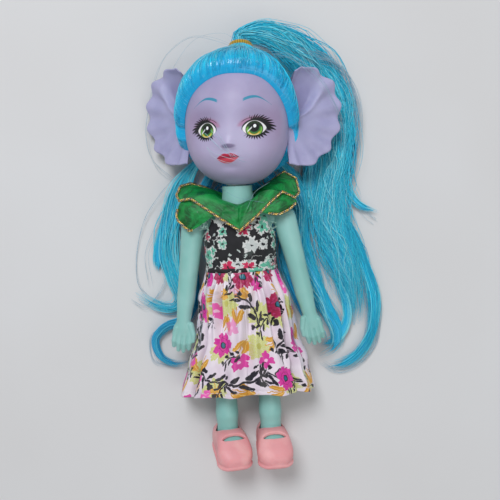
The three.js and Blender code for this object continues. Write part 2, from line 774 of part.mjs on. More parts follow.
// The right leg, or the left one before it is mirrored
function legSolid(yaw) {
  const rings = legStations.map(([y, halfWidth, halfDepth]) => levelRing(16, y, halfWidth, halfDepth));
  const limb = solidOf(loft(rings));
  const inner = move(block(20, 60, 40), hubInner - legSpacing - 10, 0, 0);
  const bore = move(alongX(round(hipPinRadius + pinGap, 20)), pinHalfLength + pinGap - legSpacing - 10, 0, 0);
  const hubLength = hubOuter - 0.6 - hubInner;
  const hub = move(alongX(round(hipRadius - 0.4, hubLength)), hubInner + hubLength / 2 - legSpacing, 0, 0);
  return limb.add(hub).add(placeFoot(footForm(0), yaw)).subtract(inner).subtract(bore);
}

// A strap shoe: a shell over the foot with an opening for the ankle, a strap and a slot before the vamp
const strapFront = 8;
const strapBack = 5.2;
const slotFront = 10;
const shoeTop = 1.1;
const counterTop = -1.2; // round the heel, lower than the strap
const shoeForm = solidOf(
  loft(
    [
      [-heelLength - shoeWall - seatGap, 2.6, counterTop - 1.8, shoeBottom + 1],
      [-heelLength - 0.2, 4.3, counterTop - 0.8, shoeBottom + 0.1],
      [-heelLength + 3, 5.3, counterTop, shoeBottom],
      [strapBack - 1, 5.8, shoeTop - 0.6, shoeBottom],
      [strapFront, 6.1, shoeTop - 0.8, shoeBottom],
      [slotFront, 6.4, shoeTop - 2.2, shoeBottom],
      [slotFront + 1.8, 6.4, shoeTop - 3.6, shoeBottom],
      [toe + 1, 5.6, shoeTop - 5, shoeBottom + 0.1],
      [toe + 2.6, 4, shoeTop - 6.6, shoeBottom + 0.6],
      [toe + 3.2, 2.2, shoeTop - 8, shoeBottom + 1.4],
    ].map(([z, halfWidth, top, bottom]) => footRing(z, halfWidth, top, bottom, 20)),
  ),
);
const shoeOpeningHalfWidth = ankleRadius + 0.8;
const openingLength = strapBack + heelLength - 1.6;
const shoeOpening = move(
  round(1, 12, 20).scale([shoeOpeningHalfWidth, 1, openingLength / 2]),
  0,
  shoeTop + 2,
  strapBack - openingLength / 2,
);
const slot = move(
  round(1, 12, 16).scale([shoeOpeningHalfWidth, 1, (slotFront - strapFront) / 2]),
  0,
  shoeTop + 2,
  (slotFront + strapFront) / 2,
);
const legRoomInShoe = (yaw) =>
  solidOf(
    loft(
      legStations
        .slice(-4)
        .map(([y, halfWidth, halfDepth]) => levelRing(14, y, halfWidth + seatGap, halfDepth + seatGap)),
    ),
  ).add(placeFoot(footForm(seatGap), yaw));
const openShoe = shoeForm.subtract(shoeOpening).subtract(slot);
const shoeSolid = (yaw) => placeFoot(openShoe, yaw).subtract(legRoomInShoe(yaw));

for (const [side, sign] of [["right", 1], ["left", -1]]) {
  // both feet point a little to the right, so the mirrored one is turned the other way
  const yaw = sign * footYaw[side];
  const facing = (solid) => (sign > 0 ? solid : toOtherSide(solid));
  add(doll, "leg_" + side, facing(legSolid(yaw)), mintPlastic).position.x = sign * legSpacing;
  add(doll, "shoe_" + side, facing(shoeSolid(yaw)), shoeVinyl).position.x = sign * legSpacing;
}
add(doll, "hip_axle", alongX(round(hipPinRadius, 2 * pinHalfLength, 20)), pinSteel);

// Dress

const bodiceTop = shoulderHeight + 5.6;
const bodiceInner = clothGap;
const bodiceOuter = clothGap + bodiceCloth;
const armhole = move(alongX(round(armholeRadius, 12, 24)), torsoHalfWidth + 2.8, shoulderHeight, 0);
const slitBottom = waistHeight + 0.2;
const backSlit = move(block(0.7, neckTop, neckTop), 0, slitBottom + neckTop / 2, -neckTop / 2);
const bodice = torsoForm(bodiceOuter, waistHeight, bodiceTop)
  .subtract(torsoForm(bodiceInner, waistHeight - 2, bodiceTop + 2))
  .subtract(armhole)
  .subtract(toOtherSide(armhole))
  .subtract(backSlit);
add(doll, "bodice", bodice, bodicePrint);

// The hook and loop strips that close the slit at the back
const stripHeight = 18;
const stripBack = torsoHalfDepth + bodiceOuter + seatGap;
["fastener_hook_strip", "fastener_loop_strip"].forEach((name, layer) => {
  const depth = stripBack + stripThickness / 2 + layer * (stripThickness + seatGap);
  const strip = block(2 * stripHalfWidth, stripHeight, stripThickness);
  add(doll, name, move(strip, layer ? 0.6 : -0.6, waistHeight + 2 + stripHeight / 2, -depth), whiteNylon);
});

// The skirt: pleats that grow toward the hem, wider where its back lies spread on the floor
const skirtTop = waistHeight - seatGap;
const skirtWaist = bodiceOuter + 0.5;
const skirtStations = {
  top: [
    [0, torsoHalfWidth + skirtWaist - 0.4],
    [0.25, 16.3],
    [0.52, 17.4],
    [0.76, 21],
    [1, skirtHalfWidthTop],
  ],
  base: [
    [0, torsoHalfWidth + skirtWaist - 0.4],
    [0.25, 17.2],
    [0.52, 21],
    [0.76, 24.4],
    [1, skirtHalfWidthBase],
  ],
  front: [
    [0, torsoHalfDepth + skirtWaist - 0.3],
    [0.3, skirtFront - 1.6],
    [0.6, skirtFront - 0.4],
    [1, skirtFront],
  ],
};

// The back falls from the waist to the floor, and would go this far under it
const skirtFallShare = 0.34;
const skirtPress = 1.5;
const skirtSquareness = 0.8; // 1 is an ellipse, and less is fuller at its corners
const skirtSway = 0.7; // how far its middle hangs over to the right

function skirtRing(share, inset) {
  const count = 40;
  const y = skirtTop + (hemHeight - skirtTop) * share;
  const floor = floorDepth(y, 0);
  const front = along(skirtStations.front, share);
  const fall = smooth(clamp01(share / skirtFallShare));
  const back = THREE.MathUtils.lerp(-along(skirtStations.front, 0), floor - skirtPress, fall);
  const outline = Array.from({ length: count }, (_, i) => {
    const angle = (2 * Math.PI * i) / count;
    const low = clamp01((1 - Math.sin(angle)) / 2) ** 2;
    const half = THREE.MathUtils.lerp(along(skirtStations.top, share), along(skirtStations.base, share), low);
    const sideways = Math.abs(Math.cos(angle));
    const grown = pleatDepth * smooth(share) * Math.cos(skirtPleats * angle + 0.6) * (1 - 0.6 * sideways);
    const x = (half + grown) * signedPower(Math.cos(angle), skirtSquareness);
    const z = ((front - back) / 2 + grown) * signedPower(Math.sin(angle), skirtSquareness);
    const drawnUp = hemLift * share ** 3 * clamp01(0.5 + 0.5 * Math.sin(angle));
    return new THREE.Vector3(x + skirtSway * Math.sin(Math.PI * share), y + drawnUp, z + (front + back) / 2);
  });
  return outline.map((p, i) => {
    const before = outline[(i + count - 1) % count];
    const after = outline[(i + 1) % count];
    const inward = new THREE.Vector3(-(after.z - before.z), 0, after.x - before.x).normalize();
    const moved = p.clone().addScaledVector(inward, inset);
    moved.z = Math.max(moved.z, floorDepth(y, inset));
    return moved;
  });
}
const skirtRows = 9;
const skirtShares = Array.from({ length: skirtRows + 1 }, (_, i) => i / skirtRows);
const skirtOutside = skirtShares.map((share) => skirtRing(share, 0));
const skirtInside = skirtShares.map((share) => skirtRing(share, skirtCloth));
const skirt = solidOf(loft([...skirtOutside, ...skirtInside.reverse()], { closed: true }));
add(doll, "skirt", skirt, skirtPrint);

// The collar: one sheet round the neck, cut in points, with a gold braid along its edge

// [angle round from the front, reach outward, height of the edge over the neckline, forward place]
const collarFoot = shoulderHeight + 7;
const collarInner = neckRadius + 1.2;
const collarEdge = [
  [0, 0, -collarTipDrop, torsoHalfDepth + 3.2],
  [24, 6.6, -5.6, torsoHalfDepth + 2.6],
  [46, 12.2, -1.2, torsoHalfDepth + 0.4],
  [60, 14.6, 1.4, 6.2],
  [76, collarReach - 2.2, 0.4, 4.2],
  [90, collarReach + 0.4, 1.2, 0.4],
  [104, collarReach - 1.6, 5.4, -3],
  [122, 13.2, 3.2, -5],
  [140, collarReach - 3.6, 6.4, -8.6],
  [158, 8.6, 3, -8.6],
  [180, 0, -1.5, -torsoHalfDepth - 2.2],
];
function collarEdgeAt(degreesRound) {
  const turned = Math.abs(degreesRound);
  const read = (column) => along(collarEdge.map((row) => [row[0], row[column]]), turned);
  return new THREE.Vector3(Math.sign(degreesRound) * read(1), collarFoot + read(2), read(3));
}
function collarPoint(degreesRound, out, lift) {
  const angle = THREE.MathUtils.degToRad(degreesRound);
  const inner = new THREE.Vector3(collarInner * Math.sin(angle), collarFoot, collarInner * Math.cos(angle));
  const p = inner.lerp(collarEdgeAt(degreesRound), out);
  // the sheet swells up and out between the neckline and its edge
  const swell = 1.3 * Math.sin(Math.PI * out);
  p.y += swell * 0.8 + lift;
  p.z += swell * Math.cos(angle) + lift * Math.cos(angle);
  return p;
}
const collarColumns = 46;
const collarSteps = 3;
const aroundNeck = Array.from({ length: collarColumns }, (_, i) => -180 + (360 * (i + 0.5)) / collarColumns);
const collarRow = (out, lift) => aroundNeck.map((angle) => collarPoint(angle, out, lift));
const collarOuts = Array.from({ length: collarSteps + 1 }, (_, i) => i / collarSteps);
const collarOver = collarOuts.map((out) => collarRow(out, collarCloth));
const collarUnder = collarOuts.map((out) => collarRow(out, 0));
const collar = solidOf(loft([...collarOver, ...collarUnder.reverse()], { closed: true }));

// The braid lies along the top of the collar's edge, and the sheet gives way to it in the inner corners
function braidPoint(angle) {
  const edge = collarPoint(angle, 1, 0);
  const forward = collarPoint(angle + 1, 1, 0).sub(collarPoint(angle - 1, 1, 0));
  const inward = collarPoint(angle, 0.95, 0).sub(edge);
  const outOfSheet = new THREE.Vector3().crossVectors(forward, inward).normalize();
  return edge.addScaledVector(outOfSheet, 1.4 * collarCloth + seatGap + braidRadius);
}
const braidPath = new THREE.CatmullRomCurve3(aroundNeck.map(braidPoint), true);
const braidSteps = 64;
const braidFrames = braidPath.computeFrenetFrames(braidSteps, true);
function braidSolid(radius, sides) {
  const rings = Array.from({ length: braidSteps }, (_, step) => {
    const at = braidPath.getPointAt(step / braidSteps);
    return Array.from({ length: sides }, (_, i) => {
      const angle = (2 * Math.PI * i) / sides;
      return at
        .clone()
        .addScaledVector(braidFrames.normals[step], radius * Math.cos(angle))
        .addScaledVector(braidFrames.binormals[step], radius * Math.sin(angle));
    });
  });
  return solidOf(loft(rings, { closed: true }));
}
add(doll, "collar", collar.subtract(braidSolid(braidRadius + seatGap, 6)), organza);
add(doll, "collar_braid", braidSolid(braidRadius, 4), goldBraid);

export default root;
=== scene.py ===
import math

import bmesh
import bpy
import numpy as np
from mathutils import Matrix, Vector


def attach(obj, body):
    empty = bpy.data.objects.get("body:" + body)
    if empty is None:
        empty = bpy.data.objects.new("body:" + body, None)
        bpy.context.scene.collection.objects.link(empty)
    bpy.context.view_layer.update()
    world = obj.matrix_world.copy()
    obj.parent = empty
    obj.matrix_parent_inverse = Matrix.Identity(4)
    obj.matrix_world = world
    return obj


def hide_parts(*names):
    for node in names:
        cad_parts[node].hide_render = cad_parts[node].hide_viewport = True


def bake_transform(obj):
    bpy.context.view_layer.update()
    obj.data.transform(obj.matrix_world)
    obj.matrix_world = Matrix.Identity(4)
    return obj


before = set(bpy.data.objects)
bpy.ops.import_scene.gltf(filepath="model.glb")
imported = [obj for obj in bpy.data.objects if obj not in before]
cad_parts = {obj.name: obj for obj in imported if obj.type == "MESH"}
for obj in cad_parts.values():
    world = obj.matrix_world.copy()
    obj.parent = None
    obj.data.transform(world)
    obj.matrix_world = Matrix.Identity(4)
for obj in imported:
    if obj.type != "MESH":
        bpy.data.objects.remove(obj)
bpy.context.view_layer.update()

MM = 0.001

# Sizes of the body, as in its solids
lie_angle = math.radians(5.957)  # the straight body tips up by this much from its heels to its hair
hip_lift = 13.393
head_height = 20.0  # centre of the skull over the top of the neck
neck_top = 50.4
head_turn = math.radians(-9)
head_lean = math.radians(-3)
skull_half_width, skull_half_depth = 18.6, 18.0
crown_height, chin_depth = 25.2, 20.4
skull_squareness = 0.88
hair_depth = 3.2
shoulder_height, waist_height = 37.6, 19.5
shoulder_x = 16.5
leg_spacing, ankle_height = 8.0, -38.0
foot_pitch = math.radians(14)
hem_height, hem_lift = -27.0, 2.0
over_scalp = 21.0  # millimetres to a radian over the scalp
round_waist = 10.6  # millimetres to a radian round the body
tiny = 1e-9


# ---- Shapes ----


def smoothstep(t):
    t = np.clip(t, 0, 1)
    return t * t * (3 - 2 * t)


def signed_power(value, power):
    return np.sign(value) * np.abs(value) ** power


def bump(value, middle, width):
    """A smooth hump: 1 at its middle, and nothing two widths away."""
    return np.exp(-(((value - middle) / width) ** 2))


def circle(count):
    """Angles evenly round a full turn."""
    return np.linspace(0, 2 * math.pi, count, endpoint=False)


def triples(x, y, z):
    """Three coordinates, or three kept numbers, side by side."""
    return np.stack(np.broadcast_arrays(x, y, z), -1)


def unit(vectors, least=0.0):
    """The same directions, one long; `least` keeps a vector of no length whole."""
    return vectors / (np.linalg.norm(vectors, axis=-1, keepdims=True) + least)


def along(stations, place, column=1):
    """A column read off rows of [place, values...], smoothly between them."""
    at = np.array([row[0] for row in stations], float)
    value = np.array([row[column] for row in stations], float)
    place = np.clip(np.asarray(place, float), at[0], at[-1])
    i = np.clip(np.searchsorted(at, place, side="right") - 1, 0, len(at) - 2)
    return value[i] + (value[i + 1] - value[i]) * smoothstep((place - at[i]) / (at[i + 1] - at[i]))


def curve_through(points, steps):
    """Catmull-Rom points, evenly stepped over the spans."""
    p = np.asarray(points, float)
    p = np.vstack([2 * p[0] - p[1], p, 2 * p[-1] - p[-2]])
    t = np.linspace(0, len(p) - 3 - tiny, steps)
    i = t.astype(int)
    f = (t - i)[:, None]
    a, b, c, d = p[i], p[i + 1], p[i + 2], p[i + 3]
    return 0.5 * (2 * b + (c - a) * f + (2 * a - 5 * b + 4 * c - d) * f**2 + (3 * b - a - 3 * c + d) * f**3)


def length_along(points, axis=0):
    """How far each point is from the start of its path."""
    gaps = np.linalg.norm(np.diff(points, axis=axis), axis=-1)
    start = np.zeros_like(np.take(gaps, [0], axis))
    return np.concatenate([start, np.cumsum(gaps, axis)], axis)


lie = np.array(
    [
        [1, 0, 0],
        [0, math.cos(lie_angle), -math.sin(lie_angle)],
        [0, math.sin(lie_angle), math.cos(lie_angle)],
    ]
)
turned = np.array(Matrix.Rotation(head_lean, 3, "Z") @ Matrix.Rotation(head_turn, 3, "Y"))


def laid(points):
    """From the body's own frame to the floor's."""
    return np.asarray(points, float) @ lie.T + [0, 0, hip_lift]


def on_head(points):
    """From the head's own frame to the floor's."""
    return laid(np.asarray(points, float) @ turned.T + [0, neck_top, 0])


def lift_over(points, least):
    """Raises what lies lower than `least`, so that nothing sinks into the table."""
    points[..., 2] = np.maximum(points[..., 2], least)


def rotated(points, angle, axis):
    """Turned about an axis through the origin."""
    return np.asarray(points, float) @ np.array(Matrix.Rotation(angle, 3, axis)).T


def grid_faces(rows, columns, closed=True, looped=False):
    """Quads over rows of points, each row a ring or an open strip."""
    r = np.arange(rows if looped else rows - 1)[:, None]
    c = np.arange(columns if closed else columns - 1)[None, :]
    below, above = r * columns, (r + 1) % rows * columns
    right = (c + 1) % columns
    quads = np.stack([below + c, below + right, above + right, above + c], -1)
    return quads.reshape(-1, 4).tolist()


def skin(rings, looped=False, capped=True):
    """A closed skin over rings of equal length."""
    rings = np.asarray(rings, float)
    rows, columns = rings.shape[:2]
    points = rings.reshape(-1, 3)
    faces = grid_faces(rows, columns, True, looped)
    if capped and not looped:
        for row, flip in ((0, True), (rows - 1, False)):
            hub = len(points)
            points = np.vstack([points, rings[row].mean(0)])
            start = row * columns
            for i in range(columns):
                a, b = start + i, start + (i + 1) % columns
                faces.append([hub, b, a] if flip else [hub, a, b])
    return points, faces


def join(parts):
    """Several (points, faces) as one."""
    points, faces, count = [], [], 0
    for p, f in parts:
        points.append(np.asarray(p, float))
        faces += [[i + count for i in face] for face in f]
        count += len(p)
    return np.vstack(points), faces


def tubes(paths, radii, sides=5):
    """Round threads along paths, closed at both ends."""
    paths = np.asarray(paths, float)
    count, steps = paths.shape[:2]
    forward = unit(np.gradient(paths, axis=1), tiny)
    side = unit(np.cross(forward, [0.05, 0.02, 1.0]), tiny)
    over = np.cross(side, forward)
    angle = circle(sides)
    radii = np.broadcast_to(radii, (count, steps))[..., None, None]
    ring = side[:, :, None] * np.cos(angle)[:, None] + over[:, :, None] * np.sin(angle)[:, None]
    points = (paths[:, :, None] + ring * radii).reshape(-1, 3)
    one = np.array(grid_faces(steps, sides))
    faces = (one[None] + (np.arange(count) * steps * sides)[:, None, None]).reshape(-1, 4).tolist()
    for s in range(count):
        start, end = s * steps * sides, (s * steps + steps - 1) * sides
        faces.append([start + sides - 1 - i for i in range(sides)])
        faces.append([end + i for i in range(sides)])
    return points, faces


def keep_place(mesh, place):
    """Keeps three numbers at every point, which the finishes read."""
    kept = mesh.attributes.new("place", "FLOAT_VECTOR", "POINT")
    kept.data.foreach_set("vector", np.asarray(place, np.float32).ravel())


def piece(name, points, faces, finish, place=None, body=None, replacing=()):
    """A mesh object from points in millimetres; `place` is kept for its finish."""
    mesh = bpy.data.meshes.new(name)
    mesh.from_pydata((np.asarray(points, float) * MM).tolist(), [], faces)
    shape = bmesh.new()
    shape.from_mesh(mesh)
    bmesh.ops.recalc_face_normals(shape, faces=shape.faces)
    shape.to_mesh(mesh)
    shape.free()
    mesh.materials.append(finish)
    if place is not None:
        keep_place(mesh, place)
    mesh.polygons.foreach_set("use_smooth", [True] * len(mesh.polygons))
    obj = bpy.data.objects.new(name, mesh)
    bpy.context.scene.collection.objects.link(obj)
    if body:
        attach(obj, body)
    if replacing:
        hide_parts(*replacing)
    return obj


def points_of(obj):
    """A mesh's points, back in millimetres."""
    co = np.zeros(len(obj.data.vertices) * 3, np.float32)
    obj.data.vertices.foreach_get("co", co)
    return co.reshape(-1, 3).astype(float) / MM


def add_cuts(obj, forms):
    """Cuts some (points, faces) out of an object; returns the tools, which `settle` takes away."""
    tools = [piece(f"{obj.name}_cut{i}", *form, obj.data.materials[0]) for i, form in enumerate(forms)]
    for tool in tools:
        taken = obj.modifiers.new("cut", "BOOLEAN")
        taken.operation, taken.object, taken.solver = "DIFFERENCE", tool, "MANIFOLD"
    return tools


def settle(obj, tools):
    """Keeps what the object's modifiers make of it as its mesh."""
    graph = bpy.context.evaluated_depsgraph_get()
    made = bpy.data.meshes.new_from_object(obj.evaluated_get(graph))
    obj.modifiers.clear()
    obj.data = made
    for tool in tools:
        bpy.data.objects.remove(tool)
    made.polygons.foreach_set("use_smooth", [True] * len(made.polygons))


def moulding(name, points, faces, finish, cell, rounds, body, node, cuts=()):
    """Overlapping forms as one skin with softened edges, after some forms are cut from it."""
    obj = piece(name, points, faces, finish)

    def one_skin(label):
        made = obj.modifiers.new(label, "REMESH")
        made.mode, made.voxel_size = "VOXEL", cell * MM

    one_skin("one_skin")
    tools = add_cuts(obj, cuts)
    if cuts:
        one_skin("one_skin_again")
    soft = obj.modifiers.new("softened", "SMOOTH")
    soft.factor, soft.iterations = 0.5, rounds
    settle(obj, tools)
    keep_place(obj.data, points_of(obj))
    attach(obj, body)
    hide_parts(node)


def level_rings(stations, count, over=0.0, rows=None):
    """Elliptic rings across y from [y, half width, half depth, shift x, shift z]."""
    low, high = stations[0][0], stations[-1][0]
    y = np.linspace(low, high, rows or len(stations))
    turn = circle(count)
    half_width = along(stations, y) + over
    half_depth = along(stations, y, 2) + over
    shift_x = along(stations, y, 3) if len(stations[0]) > 3 else 0 * y
    shift_z = along(stations, y, 4) if len(stations[0]) > 4 else 0 * y
    x = shift_x[:, None] + half_width[:, None] * np.sin(turn)
    return triples(x, y[:, None], shift_z[:, None] - half_depth[:, None] * np.cos(turn))


def cylinder(radius, length, centre, axis, sides=40):
    """A rod along X or Y."""
    turn = circle(sides)
    order = [2, 0, 1] if axis == "X" else [1, 2, 0]
    ends = [triples(radius * np.cos(turn), radius * np.sin(turn), end) for end in (-length / 2, length / 2)]
    return skin([ring[:, order] + centre for ring in ends])


def capsule(start, end, radius_start, radius_end, sides=20, rows=8):
    """A rounded finger between two points."""
    start, end = np.asarray(start, float), np.asarray(end, float)
    forward = unit(end - start)
    side = unit(np.cross(forward, [0.1, 0.2, 1]))
    over = np.cross(side, forward)
    turn = circle(sides)
    rings = []
    for t in np.linspace(-math.pi / 2 + 0.05, math.pi / 2 - 0.05, 2 * rows):
        centre, radius = (start, radius_start) if t < 0 else (end, radius_end)
        ring = side * np.cos(turn)[:, None] + over * np.sin(turn)[:, None]
        rings.append(centre + forward * radius * math.sin(t) + ring * radius * math.cos(t))
    return skin(rings)


# ---- Finishes ----


def linear(code):
    """An sRGB hex colour as linear red, green, blue and alpha."""
    parts = [int(code[i : i + 2], 16) / 255 for i in (1, 3, 5)]
    return [c / 12.92 if c <= 0.04045 else ((c + 0.055) / 1.055) ** 2.4 for c in parts] + [1.0]


def add_node(tree, kind, settings=None, feeds=None):
    """One node with its settings, and what feeds each of its inputs: a plain value or a socket."""
    made = tree.nodes.new(kind)
    for key, value in (settings or {}).items():
        setattr(made, key, value)
    for key, source in (feeds or {}).items():
        source = source.socket if isinstance(source, Field) else source
        if isinstance(source, bpy.types.NodeSocket):
            tree.links.new(source, made.inputs[key])
        else:
            made.inputs[key].default_value = source
    return made


class Field:
    """A number over the surface. Sums of fields add Math nodes."""

    def __init__(self, tree, socket):
        self.tree, self.socket = tree, socket

    def math(self, operation, *others, clamp=False):
        settings = {"operation": operation, "use_clamp": clamp}
        feeds = dict(enumerate([self, *others]))
        return Field(self.tree, add_node(self.tree, "ShaderNodeMath", settings, feeds).outputs[0])

    def __add__(self, other):
        return self.math("ADD", other)

    def __sub__(self, other):
        return self.math("SUBTRACT", other)

    def __mul__(self, other):
        return self.math("MULTIPLY", other)

    def __truediv__(self, other):
        return self.math("DIVIDE", other)

    def __pow__(self, power):
        return self.math("POWER", power)

    def __abs__(self):
        return self.math("ABSOLUTE")

    def within(self, low, high):
        """0 below low, 1 above high; or the other way round where low is the larger."""
        settings = {"interpolation_type": "SMOOTHSTEP"}
        turned_round = low > high
        span = {"Value": self, "From Min": min(low, high), "From Max": max(low, high)}
        span.update({"To Min": 1.0, "To Max": 0.0} if turned_round else {"To Min": 0.0, "To Max": 1.0})
        return Field(self.tree, add_node(self.tree, "ShaderNodeMapRange", settings, span).outputs[0])


def squares(x, y):
    return x**2.0 + y**2.0


def far(x, y):
    """How far out a point is, from the two fields of its place."""
    return squares(x, y).math("SQRT")


class Finish:
    """A material under construction, with its Principled surface."""

    def __init__(self, name, **surface):
        self.material = bpy.data.materials.new(name)
        self.material.use_nodes = True
        self.tree = self.material.node_tree
        self.surface = self.tree.nodes["Principled BSDF"]
        for key, value in surface.items():
            self.surface.inputs[key.replace("_", " ")].default_value = value

    def add(self, kind, settings=None, feeds=None):
        return add_node(self.tree, kind, settings, feeds)

    def place(self):
        """The kept coordinates as a vector socket."""
        return self.add("ShaderNodeAttribute", {"attribute_name": "place"}).outputs["Vector"]

    def split(self, vector):
        parts = self.add("ShaderNodeSeparateXYZ", None, {0: vector})
        return [Field(self.tree, parts.outputs[i]) for i in range(3)]

    def vector(self, x, y, z=0.0):
        return self.add("ShaderNodeCombineXYZ", None, {0: x, 1: y, 2: z}).outputs[0]

    def noise(self, vector, scale, detail=2.0, roughness=0.5, distortion=0.0):
        feeds = {"Vector": vector, "Scale": scale, "Detail": detail}
        feeds.update({"Roughness": roughness, "Distortion": distortion})
        return Field(self.tree, self.add("ShaderNodeTexNoise", None, feeds).outputs[0])

    def cells(self, vector, scale, spread=1.0):
        """Voronoi cells: the distance, the chance colour and the middle of each."""
        settings = {"voronoi_dimensions": "2D", "feature": "F1"}
        feeds = {"Vector": vector, "Scale": scale, "Randomness": spread}
        return self.add("ShaderNodeTexVoronoi", settings, feeds)

    def mix(self, share, below, above):
        """One colour over another: each is a socket or an sRGB hex code."""
        below, above = (linear(c) if isinstance(c, str) else c for c in (below, above))
        feeds = {"Factor": share, 6: below, 7: above}
        return self.add("ShaderNodeMix", {"data_type": "RGBA"}, feeds).outputs[2]

    def colour(self, socket):
        self.tree.links.new(socket, self.surface.inputs["Base Color"])

    def relief(self, height, strength, depth=0.1):
        """A fine surface relief, its depth in millimetres."""
        feeds = {"Height": height, "Strength": strength, "Distance": depth * MM}
        made = self.add("ShaderNodeBump", None, feeds)
        self.tree.links.new(made.outputs[0], self.surface.inputs["Normal"])


def printed_face_vinyl():
    """Soft lavender vinyl with the face printed on it: matt, with a waxy edge and a rosy spray."""
    f = Finish(
        "lavender vinyl, pad printed face", Roughness=0.46, IOR=1.5,
        Subsurface_Weight=0.12, Subsurface_Radius=(0.9, 0.5, 0.6), Subsurface_Scale=1.2 * MM,
    )
    at = f.place()
    x, y, z = f.split(at)
    # the print sits a little to the right of the moulded nose, and leans
    x = x - 0.4
    y = y - x * 0.05
    away = abs(x)
    in_front = z.within(6, 9)

    def oval(cx, cy, half_x, half_y, soft=0.12, of=away):
        """1 inside an oval: its rim is `soft` of its size."""
        return far((of - cx) / half_x, (y - cy) / half_y).within(1 + soft / 2, 1 - soft / 2)

    base = f.mix(f.noise(at, 0.12, 3).within(0.35, 0.75), "#A89EC0", "#B0A7C8")

    def lay_on(share, ink):
        """One more layer over the face: spray, print, painted highlight and painted shade."""
        nonlocal base
        base = f.mix(share * in_front, base, ink)

    # the sprayed mauve over the eyes, and the rosy spray on the cheeks and temples
    lay_on(oval(8.8, 22.2, 5.0, 4.4, 1.3) * 0.5, "#8A7797")
    lay_on(oval(15.5, 20.5, 4, 6, 1.5) * 0.3, "#A57DA2")
    lay_on(oval(11.5, 12.5, 5, 3.6, 1.5) * 0.25, "#BCA5CA")
    # paler over the nose and the cheeks: a painted highlight where the vinyl's broad gloss lies
    lay_on(oval(0.0, 13.5, 10.5, 8.5, 1.6, x) * 0.42, "#D2CBE6")
    # painted shade under the nose, where its shadow falls
    lay_on(oval(-0.5, 13.4, 2.3, 0.75, 0.7, x) * 0.8, "#6C5E80")

    # brows: arches, blunt at the inner end and drawn out to a point
    arch = away - 8.2
    bend = y - 29.7 + (arch / 4.9) ** 2.0 * 1.7 + arch.within(0.0, 5.6) * 0.9
    half_brow = arch.within(5.4, -2.5) * 0.5 + 0.05
    brow = (abs(bend) / half_brow).within(1.15, 0.7) * arch.within(-4.1, -3.4) * arch.within(5.5, 5.2)
    lay_on(brow * 0.92, "#1F8FAE")

    # eyes: a white almond filled by a large iris, under a heavy lid line
    ex, ey = 8.15, 19.0
    dx, dy = (away - ex) * (x.within(1.0, -1.0) * 0.14 + 1.0), y - ey
    hollow = ((dx / 3.9) ** 2.0 * -1.0 + 1.0).math("MAXIMUM", 0.0)
    lid_top, lid_low = hollow**0.75 * 2.62, hollow**0.65 * -2.6
    round_eye = far(dx / 4.1, dy / 2.95)
    eye_turn = dy.math("ARCTAN2", dx)
    # the rosy shade between the lashes
    rosy = round_eye.within(1.55, 1.2) * round_eye.within(0.95, 1.05) * dy.within(0.2, 1.4)
    lay_on(rosy * 0.6, "#B0668A")
    # the lid's heavy line, drawn round the open eye and thickest at the outer top
    heavy = dx.within(-4.2, 2.5) * 0.12 + 1.0
    lid = (heavy - round_eye).within(-0.03, 0.03) * dy.within(-0.9, -0.1)
    lay_on(lid, "#120F16")
    across_eye = abs(dx).within(3.9, 3.75)
    open_eye = (lid_top - dy).within(-0.1, 0.12) * (dy - lid_low).within(-0.1, 0.12) * across_eye
    lay_on(open_eye, "#EFEDEC")
    both = dx * x.math("SIGN")  # the same way across both eyes
    low_y = dy + 0.3
    iris_r = far(both, low_y)
    green = f.mix(iris_r.within(1.7, 2.5), "#3C7A3A", "#8CCB4E")
    turn = low_y.math("ARCTAN2", both)
    rays = (turn * 30.0).math("SINE").within(-0.6, 1.0)
    green = f.mix(rays * 0.3, green, "#2F6A3A")
    amber = iris_r.within(1.6, 1.8) * iris_r.within(2.3, 2.05) * low_y.within(-0.4, -1.2)
    green = f.mix(amber * 0.95, green, "#E3BC35")
    # the top of the iris is painted dark: a painted shadow of the upper lid
    lid_shadow = low_y.within(0.1, 1.3) * 0.94
    green = f.mix(lid_shadow, green, "#101614")
    pupil = far(both, low_y - 0.55)
    green = f.mix(pupil.within(1.7, 1.4), green, "#0D1210")
    green = f.mix(iris_r.within(2.4, 2.7), green, "#101A18")
    lay_on(iris_r.within(2.9, 2.74) * open_eye, green)
    shine = squares((both - 0.15) / 0.5, (dy - 0.8) / 0.6).within(1.15, 0.75)
    streak = abs(both * 0.72 - low_y * 0.7 + 1.02).within(0.27, 0.12)
    streak = streak * both.within(-2.3, -2.0) * both.within(-0.6, -0.95)
    low_glint = abs(iris_r - 2.1).within(0.22, 0.08) * low_y.within(-1.2, -1.8) * 0.35
    shine = (shine + streak * 0.75 + low_glint).math("MINIMUM", 1.0)
    lay_on(shine * open_eye, "#FFFFFF")
    # the lower rim and the crease over the inner corner
    low = abs(dy - lid_low).within(0.3, 0.12) * across_eye * dx.within(-3.9, -1.5) * dy.within(0.2, -0.4)
    crease = abs(round_eye - 1.26).within(0.045, 0.02)
    crease = crease * eye_turn.within(1.75, 2.0) * eye_turn.within(2.75, 2.5)
    # lashes: spikes that fan out from the lid
    combed = (eye_turn + (round_eye - 1.0) * 0.3) * 5.6
    uneven = (combed.math("FLOOR") * 2.4).math("SINE") * 0.07
    tip = eye_turn.within(2.3, 0.9) * 0.26 + 1.5 + uneven
    spike = abs(combed.math("FRACT") - 0.5)
    upper = ((tip - round_eye) / 0.95 - spike).within(-0.04, 0.08) * eye_turn.within(-0.28, -0.1)
    upper = upper * eye_turn.within(2.05, 1.85) * round_eye.within(0.98, 1.03)
    down_tip = eye_turn.within(-2.4, -0.9) * 0.1 + 1.16
    under = abs((eye_turn * 4.2).math("FRACT") - 0.5)
    down = ((down_tip + 0.12 - round_eye) / 0.75 - under).within(-0.04, 0.08) * eye_turn.within(-2.6, -2.3)
    down = down * eye_turn.within(-0.1, -0.3) * round_eye.within(0.9, 0.95)
    drawn = (low + crease * 0.8 + upper + down).math("MINIMUM", 1.0) * round_eye.within(1.75, 1.6)
    lay_on(drawn, "#120F16")

